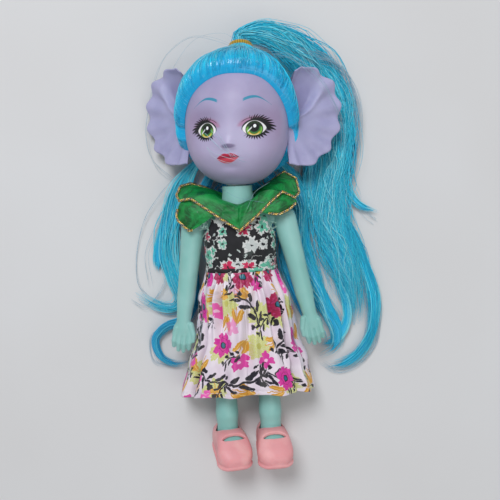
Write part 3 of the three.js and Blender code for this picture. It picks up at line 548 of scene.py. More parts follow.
    # lips: a bowed upper lip over a fuller lower one, a little raised on the right
    ly = y - 9.5 - x * 0.05
    lx = (x + 0.95) / 4.1
    side_taper = (lx**2.0 * -1.0 + 1.0).math("MAXIMUM", 0.0)
    bow = (abs(lx) - 0.34) ** 2.0 * -2.6 + 1.6
    top_lip = bow.math("MAXIMUM", 0.0) * side_taper**0.7
    low_lip = side_taper * -2.0
    lips = (top_lip - ly).within(-0.12, 0.2) * (ly - low_lip).within(-0.12, 0.3)
    lips = lips * side_taper.within(0.02, 0.1)
    lips_colour = f.mix(ly.within(-1.4, 0.6), "#D9505F", "#C4284A")
    lips_colour = f.mix(abs(ly - 0.1).within(0.32, 0.06), lips_colour, "#7E1F38")
    lay_on(lips, lips_colour)
    f.colour(base)
    f.relief(f.noise(at, 2.2, 3), 0.25, 0.05)
    return f.material


def lavender_vinyl():
    """The same vinyl, unprinted: painted darker and bluer where the ear's surface lies lower, a painted shade
    in the folds and hollows of the ears.
    """
    f = Finish(
        "lavender vinyl, moulded", Roughness=0.48, IOR=1.5,
        Subsurface_Weight=0.15, Subsurface_Radius=(0.9, 0.6, 0.8), Subsurface_Scale=1.0 * MM,
    )
    at = f.place()
    _, _, lift = f.split(at)
    # painted shade: darker where the surface lies lower, in the bowl, the flute valleys and on the back of
    # the ear
    hue = f.mix(lift.within(-1.6, 1.4), "#8783AC", "#AEABCE")
    hue = f.mix(f.noise(at, 0.2, 3).within(0.4, 0.7) * 0.5, hue, "#9C9AC0")
    f.colour(hue)
    f.relief(f.noise(at, 2.0, 3), 0.25, 0.05)
    return f.material


def mint_plastic():
    """Hard polypropylene in mint green: even colour, soft gloss, a faint haze of handling."""
    f = Finish(
        "mint polypropylene, injection moulded", Roughness=0.4, IOR=1.49,
        Subsurface_Weight=0.1, Subsurface_Radius=(0.5, 0.9, 0.8), Subsurface_Scale=1.0 * MM,
    )
    at = f.place()
    f.colour(f.mix(f.noise(at, 0.09, 2).within(0.35, 0.7), "#8BC2BA", "#99CCC5"))
    f.relief(f.noise(at, 1.6, 3), 0.2, 0.04)
    return f.material


def shoe_vinyl():
    """Salmon vinyl shoes: matt, with a little dirt rubbed in."""
    f = Finish(
        "salmon vinyl, slush moulded", Roughness=0.5, IOR=1.5,
        Subsurface_Weight=0.15, Subsurface_Radius=(1.0, 0.5, 0.4), Subsurface_Scale=1.0 * MM,
    )
    at = f.place()
    hue = f.mix(f.noise(at, 0.16, 3).within(0.4, 0.7), "#EBA0A3", "#F2B1B0")
    f.colour(f.mix(f.noise(at, 0.9, 5, 0.7).within(0.66, 0.78) * 0.35, hue, "#B88084"))
    f.relief(f.noise(at, 1.5, 3), 0.25, 0.05)
    return f.material


def nylon_hair(name, deep, mid, light, gloss=0.3):
    """Rooted nylon fibre: every thread its own blue, paler along its lit runs."""
    f = Finish(name, Roughness=gloss, IOR=1.53, Sheen_Weight=0.1)
    tone, run, across = f.split(f.place())
    stretched = f.vector(run * 0.05, across * 2.2, tone * 40.0)
    streak = f.noise(stretched, 1.0, 3, 0.6)
    hue = f.mix(tone.within(0.0, 0.62), deep, mid)
    hue = f.mix(tone.within(0.68, 1.0) * 0.8, hue, light)
    hue = f.mix(streak.within(0.55, 0.75) * 0.3, hue, light)
    hue = f.mix(streak.within(0.47, 0.28) * 0.35, hue, deep)
    f.colour(hue)
    return f.material


def clear_nylon():
    """Single fibres that have come loose: thin enough to look almost white."""
    f = Finish("cyan nylon, single pale fibres", Roughness=0.25, IOR=1.53, Transmission_Weight=0.25)
    tone = f.split(f.place())[0]
    f.colour(f.mix(tone, "#9CCBE2", "#EEF6FA"))
    return f.material


def tie_elastic():
    """Mustard covered elastic: ribs of thread round the cord, 0.7 mm apart."""
    f = Finish("mustard covered elastic", Roughness=0.75, IOR=1.5, Sheen_Weight=0.3)
    at = f.place()
    _, run, _ = f.split(at)
    rib = (run * 9.0).math("SINE")
    # painted darker in the troughs between the ribs and paler on their crests, a painted shade
    f.colour(f.mix(rib.within(-1, 1), "#9A7410", "#D0A52A"))
    f.relief(rib, 0.5, 0.15)
    return f.material


def green_organza():
    """Stiff nylon organza in emerald: it glows where the light comes through and is dark where it doubles."""
    f = Finish("emerald nylon organza", Roughness=0.38, IOR=1.53, Transmission_Weight=0.06)
    at = f.place()
    u, v, _ = f.split(at)
    cloudy = f.noise(at, 0.16, 4, 0.6, 0.6)
    hue = f.mix(cloudy.within(0.36, 0.66), "#02521F", "#099A42")
    pressed = f.noise(f.vector(u * 0.35, v * 1.2), 0.5, 3, 0.6, 1.0)
    hue = f.mix(abs(pressed - 0.5).within(0.05, 0.0) * 0.4, hue, "#22B862")
    # a thread every 0.35 mm
    weave = (u * 18.0).math("SINE") * (v * 18.0).math("SINE")
    f.colour(f.mix(weave.within(0.0, 1.0) * 0.2, hue, "#12A04C"))
    f.relief(weave * 0.4 + pressed * 3.0, 0.5, 0.12)
    return f.material


def metal_thread(name, hue):
    """Wrapped lame yarn: bright metal with a fine wrap, every 0.45 mm."""
    f = Finish(name, Roughness=0.28, Metallic=1.0)
    run = f.split(f.place())[1]
    wrap = (run * 14.0).math("SINE")
    # the wrap's crests are painted pale, a painted highlight
    f.colour(f.mix(wrap.within(-0.6, 0.9), hue, "#F4E0A0"))
    f.relief(wrap, 0.4, 0.08)
    return f.material


def plain_thread(name, hue, shine=0.6):
    """Spun sewing thread: matt, with a paler band every half millimetre along its twist, a painted sheen."""
    f = Finish(name, Roughness=shine, IOR=1.5)
    run = f.split(f.place())[1]
    # painted sheen: a paler band along the twist every half millimetre
    f.colour(f.mix((run * 12.0).math("SINE").within(-1, 1) * 0.35, hue, "#F0F0EE"))
    return f.material


def petals(dx, dy, count, size, depth, spin, ragged=0.0):
    """1 inside a flower of rounded petals about the middle of its cell."""
    r = far(dx, dy)
    turn = dy.math("ARCTAN2", dx) + spin
    edge = abs((turn * (count / 2)).math("SINE")) ** 0.6 * depth + (1 - depth)
    if ragged:
        edge = edge + (turn * (count * 2.5)).math("SINE") * ragged + (turn * 3.0).math("SINE") * ragged
    return (edge * size - r).within(-0.08, 0.12), r


def scattered(f, u, v, cell, shift, spread=0.8):
    """Motif cells over the cloth: place about each one's middle, turned by chance, and its three chances."""
    where = f.vector(u / cell + shift, v / cell + shift * 1.7)
    found = f.cells(where, 1.0, spread)
    px, py, _ = f.split(where)
    cx, cy, _ = f.split(found.outputs["Position"])
    a, b, c = f.split(found.outputs["Color"])
    turn = b * (2 * math.pi)
    dx, dy = (px - cx) * cell, (py - cy) * cell
    cosine, sine = turn.math("COSINE"), turn.math("SINE")
    return dx * cosine - dy * sine, dx * sine + dy * cosine, a, b, c


def satin_print():
    """White-pink satin with a printed garden: magenta blooms, lime clusters, ochre leaves, black sprigs."""
    f = Finish("white-pink polyester satin, screen printed", Roughness=0.33, IOR=1.54, Sheen_Weight=0.25)
    at = f.place()
    u, v, _ = f.split(at)
    u, v = u + (f.noise(at, 0.7, 2) - 0.5) * 1.3, v + (f.noise(at, 0.62, 2) - 0.5) * 1.3
    hue = f.mix(f.noise(at, 0.12, 2).within(0.3, 0.7), "#E0CFDC", "#F0E4EC")

    # lime clusters, stippled at their rims
    dx, dy, a, b, c = scattered(f, u, v, 13.0, 3.1, 0.6)
    lobes, r = petals(dx, dy, 7, 5.2, 0.35, b * 6.0, 0.07)
    dots = Field(f.tree, f.cells(f.vector(u, v), 2.4).outputs["Distance"]).within(0.42, 0.3)
    lime = lobes * a.within(0.3, 0.32)
    hue = f.mix(lime * (dots * 0.3 + 0.65), hue, "#CDD264")
    hue = f.mix(lime * r.within(1.3, 0.9) * 0.7, hue, "#B8B443")

    # ochre leaves in pairs along a thin stalk
    dx, dy, a, b, c = scattered(f, u, v, 9.0, 7.4, 0.6)
    apart = abs(dx) - 1.25
    slanted = apart + dy * -0.28
    leaf = squares(slanted / 0.95, dy / 2.7)
    stalk = abs(dx).within(0.24, 0.12) * abs(dy).within(3.4, 3.2)
    ochre = leaf.within(1.1, 0.85).math("MAXIMUM", stalk) * b.within(0.42, 0.44)
    hue = f.mix(ochre, hue, f.mix(c, "#C98A1E", "#E6A93A"))
    vein = abs(slanted).within(0.17, 0.06) * ochre
    hue = f.mix(vein * 0.7, hue, "#F4D078")

    # loose pink petals
    dx, dy, a, b, c = scattered(f, u, v, 8.4, 5.7, 0.7)
    bloom, r = petals(dx, dy, 4, 3.1, 0.5, b * 6.0, 0.08)
    bloom = bloom * c.within(0.56, 0.58)
    hue = f.mix(bloom, hue, f.mix(a.within(0.4, 0.6), "#EE5FB4", "#D93A9C"))
    hue = f.mix(bloom * r.within(0.75, 0.5), hue, "#F9C6E2")

    # black sprigs: a bowed stem with slanted leaves, in two sizes
    for cell, shift, size, share in ((12.0, 12.9, 1.0, 0.22), (15.0, 20.3, 1.45, 0.3)):
        dx, dy, a, b, c = scattered(f, u / size, v / size, cell / size, shift, 0.55)
        bowed = dx - dy**2.0 * 0.08
        within_run = abs(dy).within(4.9, 4.6)
        stem = abs(bowed).within(0.34, 0.2) * within_run
        step = ((dy + bowed.math("SIGN") * 0.6) * 0.36).math("FRACT") - 0.5
        out_by, up_by = abs(bowed) - 1.3, step * 2.8
        long_way, short_way = out_by * 0.77 - up_by * 0.64, out_by * 0.64 + up_by * 0.77
        blade = squares(short_way / 1.4, long_way / 0.56)
        sprig = stem.math("MAXIMUM", blade.within(1.1, 0.85) * within_run) * a.within(share, share + 0.02)
        hue = f.mix(sprig, hue, "#1B1722")

    # magenta and crimson blooms with a dark or teal eye
    dx, dy, a, b, c = scattered(f, u, v, 13.5, 1.3, 0.6)
    bloom, r = petals(dx, dy, 7, 4.6, 0.32, b * 6.0, 0.05)
    bloom = bloom * a.within(0.5, 0.52)
    pink = f.mix(c.within(0.45, 0.5), "#D6239A", "#A8154A")
    pink = f.mix(f.noise(at, 0.9, 2).within(0.45, 0.7) * 0.5, pink, "#E0569F")
    hue = f.mix(bloom, hue, pink)
    ring = abs(r - 2.3).within(0.22, 0.08) * bloom
    hue = f.mix(ring * 0.55, hue, "#7C0F3C")
    hue = f.mix(bloom * r.within(1.35, 1.15), hue, "#15131B")
    hue = f.mix(bloom * r.within(0.95, 0.8), hue, "#1B6C80")
    f.colour(hue)
    # satin's threads are finer than this 0.57 mm, and wouldn't show
    thread = (u * 11.0).math("SINE") * (v * 11.0).math("SINE")
    f.relief(thread, 0.12, 0.05)
    return f.material


def bodice_print():
    """Black printed cotton: ragged white and mint blossom, a few crimson ones, and pale stalks."""
    f = Finish("black cotton lawn, screen printed", Roughness=0.7, IOR=1.5, Sheen_Weight=0.15)
    at = f.place()
    u, v, _ = f.split(at)
    u = u + (f.noise(at, 0.9, 3) - 0.5) * 2.0
    v = v + (f.noise(at, 0.8, 3) - 0.5) * 2.0
    hue = f.mix(f.noise(at, 0.3, 2).within(0.3, 0.7), "#0B0A10", "#16151B")

    # pale stalks and flecks between the flowers
    dx, dy, a, b, c = scattered(f, u, v, 4.6, 9.3, 0.9)
    stalk = abs(dx - dy**2.0 * 0.16).within(0.24, 0.1) * abs(dy).within(2.0, 1.8)
    hue = f.mix(stalk * a.within(0.4, 0.42), hue, "#C9CBC7")
    dx, dy, a, b, c = scattered(f, u, v, 2.6, 4.1, 1.0)
    fleck = squares(dx / 0.36, dy / 0.8)
    hue = f.mix(fleck.within(1.1, 0.7) * a.within(0.66, 0.68), hue, "#B9C4BF")

    # two layers of flowers, each petal white at its rim
    for cell, shift, size, share in ((4.9, 2.7, 2.1, 0.3), (6.6, 6.1, 3.1, 0.36)):
        dx, dy, a, b, c = scattered(f, u, v, cell, shift, 0.75)
        bloom, r = petals(dx, dy, 5, size, 0.5, b * 6.0, 0.09)
        bloom = bloom * a.within(share, share + 0.02)
        inner, _ = petals(dx, dy, 5, size * 0.74, 0.6, b * 6.0, 0.12)
        hue = f.mix(bloom, hue, "#D9DAD7")
        tint = f.mix(c.within(0.6, 0.62), "#5FB79B", "#CC2355")
        tint = f.mix(c.within(0.25, 0.23), tint, "#C6CBC8")
        hue = f.mix(bloom * inner, hue, tint)
        hue = f.mix(bloom * r.within(0.55, 0.4), hue, "#1D1B22")
    f.colour(hue)
    # 0.45 mm to a thread, coarser than real lawn so that it shows
    weave = (u * 14.0).math("SINE") * (v * 14.0).math("SINE")
    f.relief(weave, 0.3, 0.08)
    return f.material


def inner_plastic(name, hue, shine, metal=0.0):
    """A plain inner piece with a fine moulded or turned grain."""
    f = Finish(name, Roughness=shine, Metallic=metal)
    spot = f.add("ShaderNodeTexCoord").outputs["Object"]
    f.colour(f.mix(f.noise(spot, 900.0, 2).within(0.3, 0.7), hue, "#D9DDDC"))
    return f.material


face_vinyl = printed_face_vinyl()
ear_vinyl = lavender_vinyl()
mint = mint_plastic()
salmon = shoe_vinyl()
cap_hair = nylon_hair("cyan nylon, combed and rooted", "#0AA6DC", "#1AD8F8", "#AAF4FC", 0.2)
long_hair = nylon_hair("cyan nylon, loose lengths", "#0CA8D6", "#34DAF4", "#AAF6FC", 0.3)
under_hair = nylon_hair("cyan nylon, shaded under layer", "#0A90C8", "#24C6EE", "#6CE0F6", 0.38)
loose_fibre = clear_nylon()
elastic = tie_elastic()
organza = green_organza()
gold = metal_thread("gold lame yarn", "#B98A2A")
dark_thread = plain_thread("dark core thread of the braid", "#3A2C18")
satin = satin_print()
lawn = bodice_print()
mint_thread = plain_thread("frayed mint sewing thread", "#A9D9C6")
white_thread = plain_thread("white hem stitching", "#E9E4E8")


# ---- Head ----


def skull_point(latitude, longitude, over=0.0):
    """A point `over` the plain skull, a squared-off ball that is wider above."""
    across = signed_power(np.cos(latitude), skull_squareness)
    up = signed_power(np.sin(latitude), skull_squareness)
    half = skull_half_width + 0.5 * up + over
    tall = np.where(up > 0, crown_height, chin_depth) + over
    x = half * across * np.sin(longitude)
    y = head_height + tall * up
    z = (skull_half_depth + over) * across * np.cos(longitude)
    return triples(x, y, z)


def mound(p, x, y, half_x, half_y, mirrored=True):
    """A soft mound over the face, on both sides where it is mirrored."""
    made = bump(p[..., 0], x, half_x)
    if mirrored:
        made = made + bump(p[..., 0], -x, half_x)
    return made * bump(p[..., 1], y, half_y)


def face_relief(p):
    """How far the moulded face stands forward of the plain skull."""
    front = smoothstep((p[..., 2] - 5) / 6)
    lift = 1.25 * mound(p, -0.1, 13.9, 2.1, 2.0, False)  # nose tip
    lift += 0.3 * mound(p, 0, 17.5, 2.4, 4.2, False)  # bridge
    lift += 0.35 * mound(p, 1.5, 13.1, 0.9, 0.9)  # nostril wings
    lift -= 0.95 * mound(p, 8.8, 20.2, 4.8, 4.2)  # eye hollows
    lift += 0.55 * mound(p, 8.6, 18.6, 3.6, 2.6)  # the painted eyes still bulge a little
    lift += 0.75 * mound(p, 11.0, 10.8, 5.0, 4.2)  # cheeks
    lift += 0.35 * mound(p, 0, 31.0, 12.0, 4.5, False)  # forehead
    lift += 0.75 * mound(p, -0.4, 9.6, 3.4, 2.0, False)  # mouth
    lift += 0.25 * mound(p, -0.4, 10.4, 2.6, 0.6, False) + 0.35 * mound(p, -0.4, 8.4, 2.4, 0.7, False)
    lift -= 0.3 * mound(p, -0.4, 9.55, 3.4, 0.32, False)  # the line between the lips
    lift -= 0.25 * mound(p, 0, 6.1, 3.0, 0.9, False)  # hollow over the chin
    lift += 0.5 * mound(p, 0, 3.9, 3.2, 2.0, False)  # chin
    return lift * front


def build_head():
    """The hollow moulding, open at the neck."""
    columns, rows, inner_rows, step = 300, 220, 50, 3
    wall, neck_hole = 1.8, 4.2
    rim = -math.acos((neck_hole / skull_half_width) ** (1 / skull_squareness))
    latitude = np.linspace(rim, math.pi / 2 - 0.004, rows)[:, None]
    turn = np.linspace(-math.pi, math.pi, columns, endpoint=False)[None, :]
    longitude = turn - 0.45 * np.sin(turn)  # closer columns over the face
    outer = skull_point(latitude, longitude)
    outer[..., 2] += face_relief(outer)
    inner_latitude = np.linspace(math.pi / 2 - 0.01, rim, inner_rows)[:, None]
    inner = skull_point(inner_latitude, np.repeat(longitude[:, ::step], step, 1), -wall)
    inner[-1] = outer[0] + [0, 1.6, 0]
    rings = np.concatenate([outer, inner])
    points = rings.reshape(-1, 3)
    faces = grid_faces(len(rings), columns, looped=True)
    # the two walls aren't joined at the crown: each is closed there by a face of its own
    del faces[(rows - 1) * columns : rows * columns]
    faces.append([(rows - 1) * columns + i for i in range(columns)])
    faces.append([rows * columns + i for i in range(columns)][::-1])
    piece("head_vinyl", on_head(points), faces, face_vinyl, points, "head", ["head_shell"])


ear_radius, ear_root_height, ear_root_x, ear_root_z = 20.6, 4.0, 17.0, -1.4
ear_sweep = math.radians(33)
# [angle up from straight out, reach as a share of the ear's radius]
ear_outline = [[-84, 0.82], [-62, 0.95], [-30, 1], [0, 1.05], [30, 1.08], [56, 1], [72, 0.9], [82, 0.8]]


def ear_sheet(out, share, side):
    """The fan of an ear: a smooth bowl above a slanting ridge, and broad flutes below and outside it."""
    degrees = -84 + 166 * share
    angle = np.radians(degrees)
    past_ridge = degrees - (-14 + 62 * np.clip(out, 0.001, 1) ** 0.8)
    bowl = smoothstep(past_ridge / 16)
    flute = np.cos(2 * math.pi * (degrees - 32 - 3 * out) / 23)
    grown = smoothstep((out - 0.36) / 0.6) * (1 - bowl) * smoothstep((share - 0.0) / 0.08)
    reach = ear_radius * along(ear_outline, degrees)
    radius = reach * (0.08 + 0.92 * out) * (1 + 0.022 * flute * grown)
    lift = 1.6 * out**2 + 0.7 * flute * grown
    lift -= 1.9 * bowl * np.sin(math.pi * np.clip(out * 1.02, 0, 1)) ** 0.8
    lift += 0.9 * bowl * bump(out, 1, 0.09)  # a rolled rim round the bowl
    lift += 0.8 * bump(degrees, 82, 7) * smoothstep(out / 0.3)
    lift += 0.5 * bump(past_ridge, 0, 6) * smoothstep(out / 0.25) * smoothstep((1 - out) / 0.2)
    lift -= 1.2 * smoothstep((0.07 - share) / 0.07) * out  # the lowest edge tucks under
    half = 0.75 * (1.15 - 0.45 * out) * np.sqrt(np.clip((1.004 - out) / 0.03, 0.05, 1))
    half = half * np.sqrt(np.clip(np.minimum(share, 1 - share) / 0.02 + 0.08, 0.08, 1))
    return triples(radius * np.cos(angle), radius * np.sin(angle), lift + side * half)


def build_ear(name, mirror, node):
    steps, columns = 70, 340
    out = np.linspace(0, 1, steps)[None, :]
    share = np.linspace(0, 1, columns)[:, None]
    out, share = np.broadcast_arrays(out, share)
    rings = np.concatenate([ear_sheet(out, share, 1), ear_sheet(out, share, -1)[:, ::-1]], 1)
    points, faces = skin(rings)
    place = points.copy()
    points = rotated(points, ear_sweep, "Y") + [ear_root_x, head_height + ear_root_height, ear_root_z]
    if mirror:
        points[:, 0] *= -1
    piece(name, on_head(points), faces, ear_vinyl, place, "head", [node])


# ---- Hair over the scalp ----

gather_latitude = math.radians(72)
gather = skull_point(np.array(gather_latitude), np.array(math.pi), hair_depth)
gather_axis = np.array([0, 0.95, -0.31]) / math.hypot(0.95, 0.31)
tie_rise = 2.2


def over_skull(direction, over):
    """Where a ray from the skull's centre leaves a surface laid over the skull."""
    d = unit(direction)
    tall = np.where(d[..., 1] > 0, crown_height, chin_depth) + over
    up = 0.0
    for _ in range(3):
        half = skull_half_width + 0.5 * up + over
        flat = np.sqrt((d[..., 0] / half) ** 2 + (d[..., 2] / (skull_half_depth + over)) ** 2)
        power = 2 / skull_squareness
        reach = (flat**power + np.abs(d[..., 1] / tall) ** power) ** (-1 / power)
        up = reach * d[..., 1] / tall
    return d * reach[..., None] + [0, head_height, 0]


def in_hair(p):
    """How far inside the haired part of the scalp a point is; below 0 it is bare."""
    x, y, z = p[..., 0], p[..., 1] - head_height, p[..., 2]
    round_side = 1.0 * smoothstep(-x / 13) - 3.8 * smoothstep(x / 13)
    front = (0.6 * y - (z - 3.1 - 0.6 * round_side)) / math.hypot(0.6, 1)
    temple = (-0.1 * y - (z - 1.2 - round_side)) / math.hypot(0.1, 1)
    line = np.where(y > 0, front, temple)
    nape = (y + 6.8 - 0.92 * z) / math.hypot(1, 0.92)
    return np.minimum(line, nape)


def smoothed_round(values, window):
    """A closed run of numbers, each added up with its neighbours under a window."""
    width = len(window) // 2
    return np.convolve(np.concatenate([values[-width:], values, values[:width]]), window, "valid")


def fine_noise(count, width, seed):
    """A closed run of smoothed chance numbers from -1 to 1."""
    made = smoothed_round(np.random.default_rng(seed).normal(size=count), np.hanning(2 * width + 1))
    return made / (np.abs(made).max() + tiny)


gather_pole = unit(gather - [0, head_height, 0])
gather_east = unit(np.cross([0, 0, 1], gather_pole))
gather_north = np.cross(gather_pole, gather_east)


def from_gather(theta, phi):
    """Which way `phi` leads from the gather, and the direction `theta` down that way."""
    heading = gather_east * np.cos(phi)[..., None] + gather_north * np.sin(phi)[..., None]
    return heading, gather_pole * np.cos(theta)[..., None] + heading * np.sin(theta)[..., None]


def hairline():
    """Angles round the gather, and how far down each of them the hair begins."""
    phi = circle(1080)
    march = np.linspace(0.12, math.pi - 0.1, 420)
    rays = from_gather(march[:, None], phi)[1]
    inside = in_hair(over_skull(rays, np.full(rays.shape[:-1], 1.6)))
    first_out = np.argmax(inside < 0, 0)
    a = np.take_along_axis(inside, (first_out - 1)[None], 0)[0]
    b = np.take_along_axis(inside, first_out[None], 0)[0]
    end = march[first_out - 1] + (march[1] - march[0]) * a / (a - b)
    window = np.hanning(29)
    return phi, smoothed_round(end, window / window.sum())


def combed(theta, phi, end, lifted):
    """A point on the combed hair, `theta` from the gather, `lifted` over its even surface."""
    heading, rays = from_gather(theta, phi)
    to_edge = (end - theta) * over_scalp  # millimetres to the hairline
    # the roll over the hairline is rounded, and fullest over the forehead
    front = smoothstep((over_skull(rays, np.full(theta.shape, 1.6))[..., 2] + 4) / 10)
    roll = np.sqrt(np.clip(1 - (1 - np.clip(to_edge / 3.0, 0, 1)) ** 2, 0, 1))
    over = 0.15 + (hair_depth - 0.3 + 0.9 * front * bump(to_edge, 4.2, 3.4)) * roll
    surface = over_skull(rays, over + lifted * smoothstep(to_edge / 2.4 + 0.15) * smoothstep(theta / 0.5))
    # the neck of the bunch rises to the tie
    near = smoothstep((0.42 - theta) / 0.32)[..., None]
    stub = gather + gather_axis * (near * 4.4) + heading * (2.6 + 4.0 * (theta[..., None] - 0.1) / 0.32)
    return surface * (1 - near) + stub * near


def build_hair_cap():
    """Hair combed from the hairline back to the gather: combed grooves run down every meridian."""
    rows, start = 64, 0.1
    phi, end = hairline()
    columns = len(phi)
    drift = np.linspace(0, 1, rows)[:, None] ** 0.8
    theta = start + (end - start) * drift
    thread = fine_noise(columns, 2, 5) * (1 - drift) + fine_noise(columns, 2, 6) * drift
    wisp = fine_noise(columns, 9, 7) * (1 - drift) + fine_noise(columns, 9, 8) * drift
    bunch = fine_noise(columns, 34, 9) * (1 - 0.5 * drift) + fine_noise(columns, 26, 10) * 0.5 * drift
    groove = 0.16 * thread + 0.24 * wisp + 0.4 * bunch
    around = np.broadcast_to(phi, theta.shape)
    surface = combed(theta, around, end, groove)
    inner_theta = theta[::-6]
    inner = over_skull(from_gather(inner_theta, phi)[1], np.full(inner_theta.shape, 0.1))
    points, faces = skin(np.concatenate([surface, inner]))
    # the tone follows the noise of the grooves, so the combed hair is painted darker in its grooves and paler
    # where it stands up, a painted shade; edge_shade paints it darker towards the hairline, also a painted
    # shade
    edge_shade = smoothstep((end - theta) * over_scalp / 3.2)
    tone = np.clip((0.3 + 0.3 * thread + 0.26 * wisp + 0.2 * bunch) * (0.25 + 0.75 * edge_shade), 0, 1)
    place = triples(tone, theta * over_scalp, around * over_scalp)
    place = np.concatenate([place, place[::-6]]).reshape(-1, 3)
    place = np.vstack([place, place[:2]])
    world = on_head(points)
    lift_over(world, 0.05)
    piece("hair_over_scalp", world, faces, cap_hair, place, "head", ["hair_cap"])

    # single threads lie along the combed surface and cross it at a slight slant
    rng = np.random.default_rng(12)
    count, steps, sides = 1300, 26, 3
    begin = rng.uniform(0, 2 * math.pi, count)
    slant = rng.normal(0, 0.035, count)
    reach = np.linspace(0, 1, steps)[None, :]
    angle = begin[:, None] + slant[:, None] * np.sin(math.pi * reach)
    angle = angle + 0.012 * np.sin(9 * reach + begin[:, None] * 50)
    ends = np.interp(angle % (2 * math.pi), phi, end)
    lowest = np.where(rng.random(count) < 0.7, 0.985, rng.uniform(0.5, 0.98, count))[:, None]
    down = 0.16 + (ends * lowest - 0.16) * reach
    swell = 0.4 * np.interp(angle % (2 * math.pi), phi, fine_noise(columns, 26, 10))
    lifted = rng.uniform(0.1, 0.42, count)[:, None] + swell
    paths = combed(down, angle, ends, lifted)
    taper = 0.3 + 0.7 * smoothstep(np.minimum(reach, 1 - reach) / 0.12)
    radii = (0.085 * rng.uniform(0.7, 1.35, count))[:, None] * taper
    points, faces = tubes(paths, radii, sides)
    tones = np.clip(rng.normal(0.5, 0.24, count), 0, 1)[:, None, None]
    shade = 0.3 + 0.7 * smoothstep((ends - down) * over_scalp / 3.2)[..., None]
    laid_out = (down * over_scalp)[..., None], (angle * over_scalp)[..., None]
    place = triples(tones * shade, *laid_out).repeat(sides, 2)
    world = on_head(points)
    lift_over(world, 0.05)
    piece("hair_over_scalp_threads", world, faces, cap_hair, place, "head")


def build_tie():
    """Three turns of covered elastic round the bunch."""
    steps, sides = 360, 14
    side = unit(np.cross(gather_axis, [1, 0, 0]))
    over = np.cross(gather_axis, side)
    turn = np.linspace(0, 2 * math.pi * 3, steps)
    rise = tie_rise - 0.9 + 1.8 * turn / turn[-1] + 0.1 * np.sin(turn * 2)
    reach = 3.55 + 0.25 * np.sin(turn * 1.7 + 0.4)
    round_bunch = side * np.cos(turn)[:, None] + over * np.sin(turn)[:, None]
    path = gather + gather_axis * rise[:, None] + round_bunch * reach[:, None]
    points, faces = tubes(path[None], 0.95, sides)
    place = triples(0, np.repeat(np.arange(steps) * 0.19, sides), 0)
    piece("elastic_round_bunch", on_head(points), faces, elastic, place, "head", ["hair_tie"])


# ---- Loose hair ----

above_gather = [on_head(gather + gather_axis * rise) for rise in (3.0, 6.8)]
ponytail_run = [
    [*above_gather[0], 2.4, 2.4], [*above_gather[1], 3.4, 3.2], [14.6, 104.6, 13, 4.4, 4.0],
    [25, 98.6, 9.4, 6.0, 3.8], [31.8, 91.4, 6.4, 7.0, 3.6], [36.2, 82, 5, 7.2, 3.4],
    [38.0, 71, 4.4, 7.0, 3.3], [36.8, 59, 4.2, 7.0, 3.2], [34.2, 48, 4, 7.6, 3.0],
    [34.6, 36, 3.6, 8.0, 3.0], [37.4, 24, 3.2, 8.4, 2.8], [40.2, 12, 2.6, 7.2, 2.4],
    [41.8, 3, 2.2, 5.6, 2.0], [41.6, -4.4, 1.8, 4.4, 1.4],
]
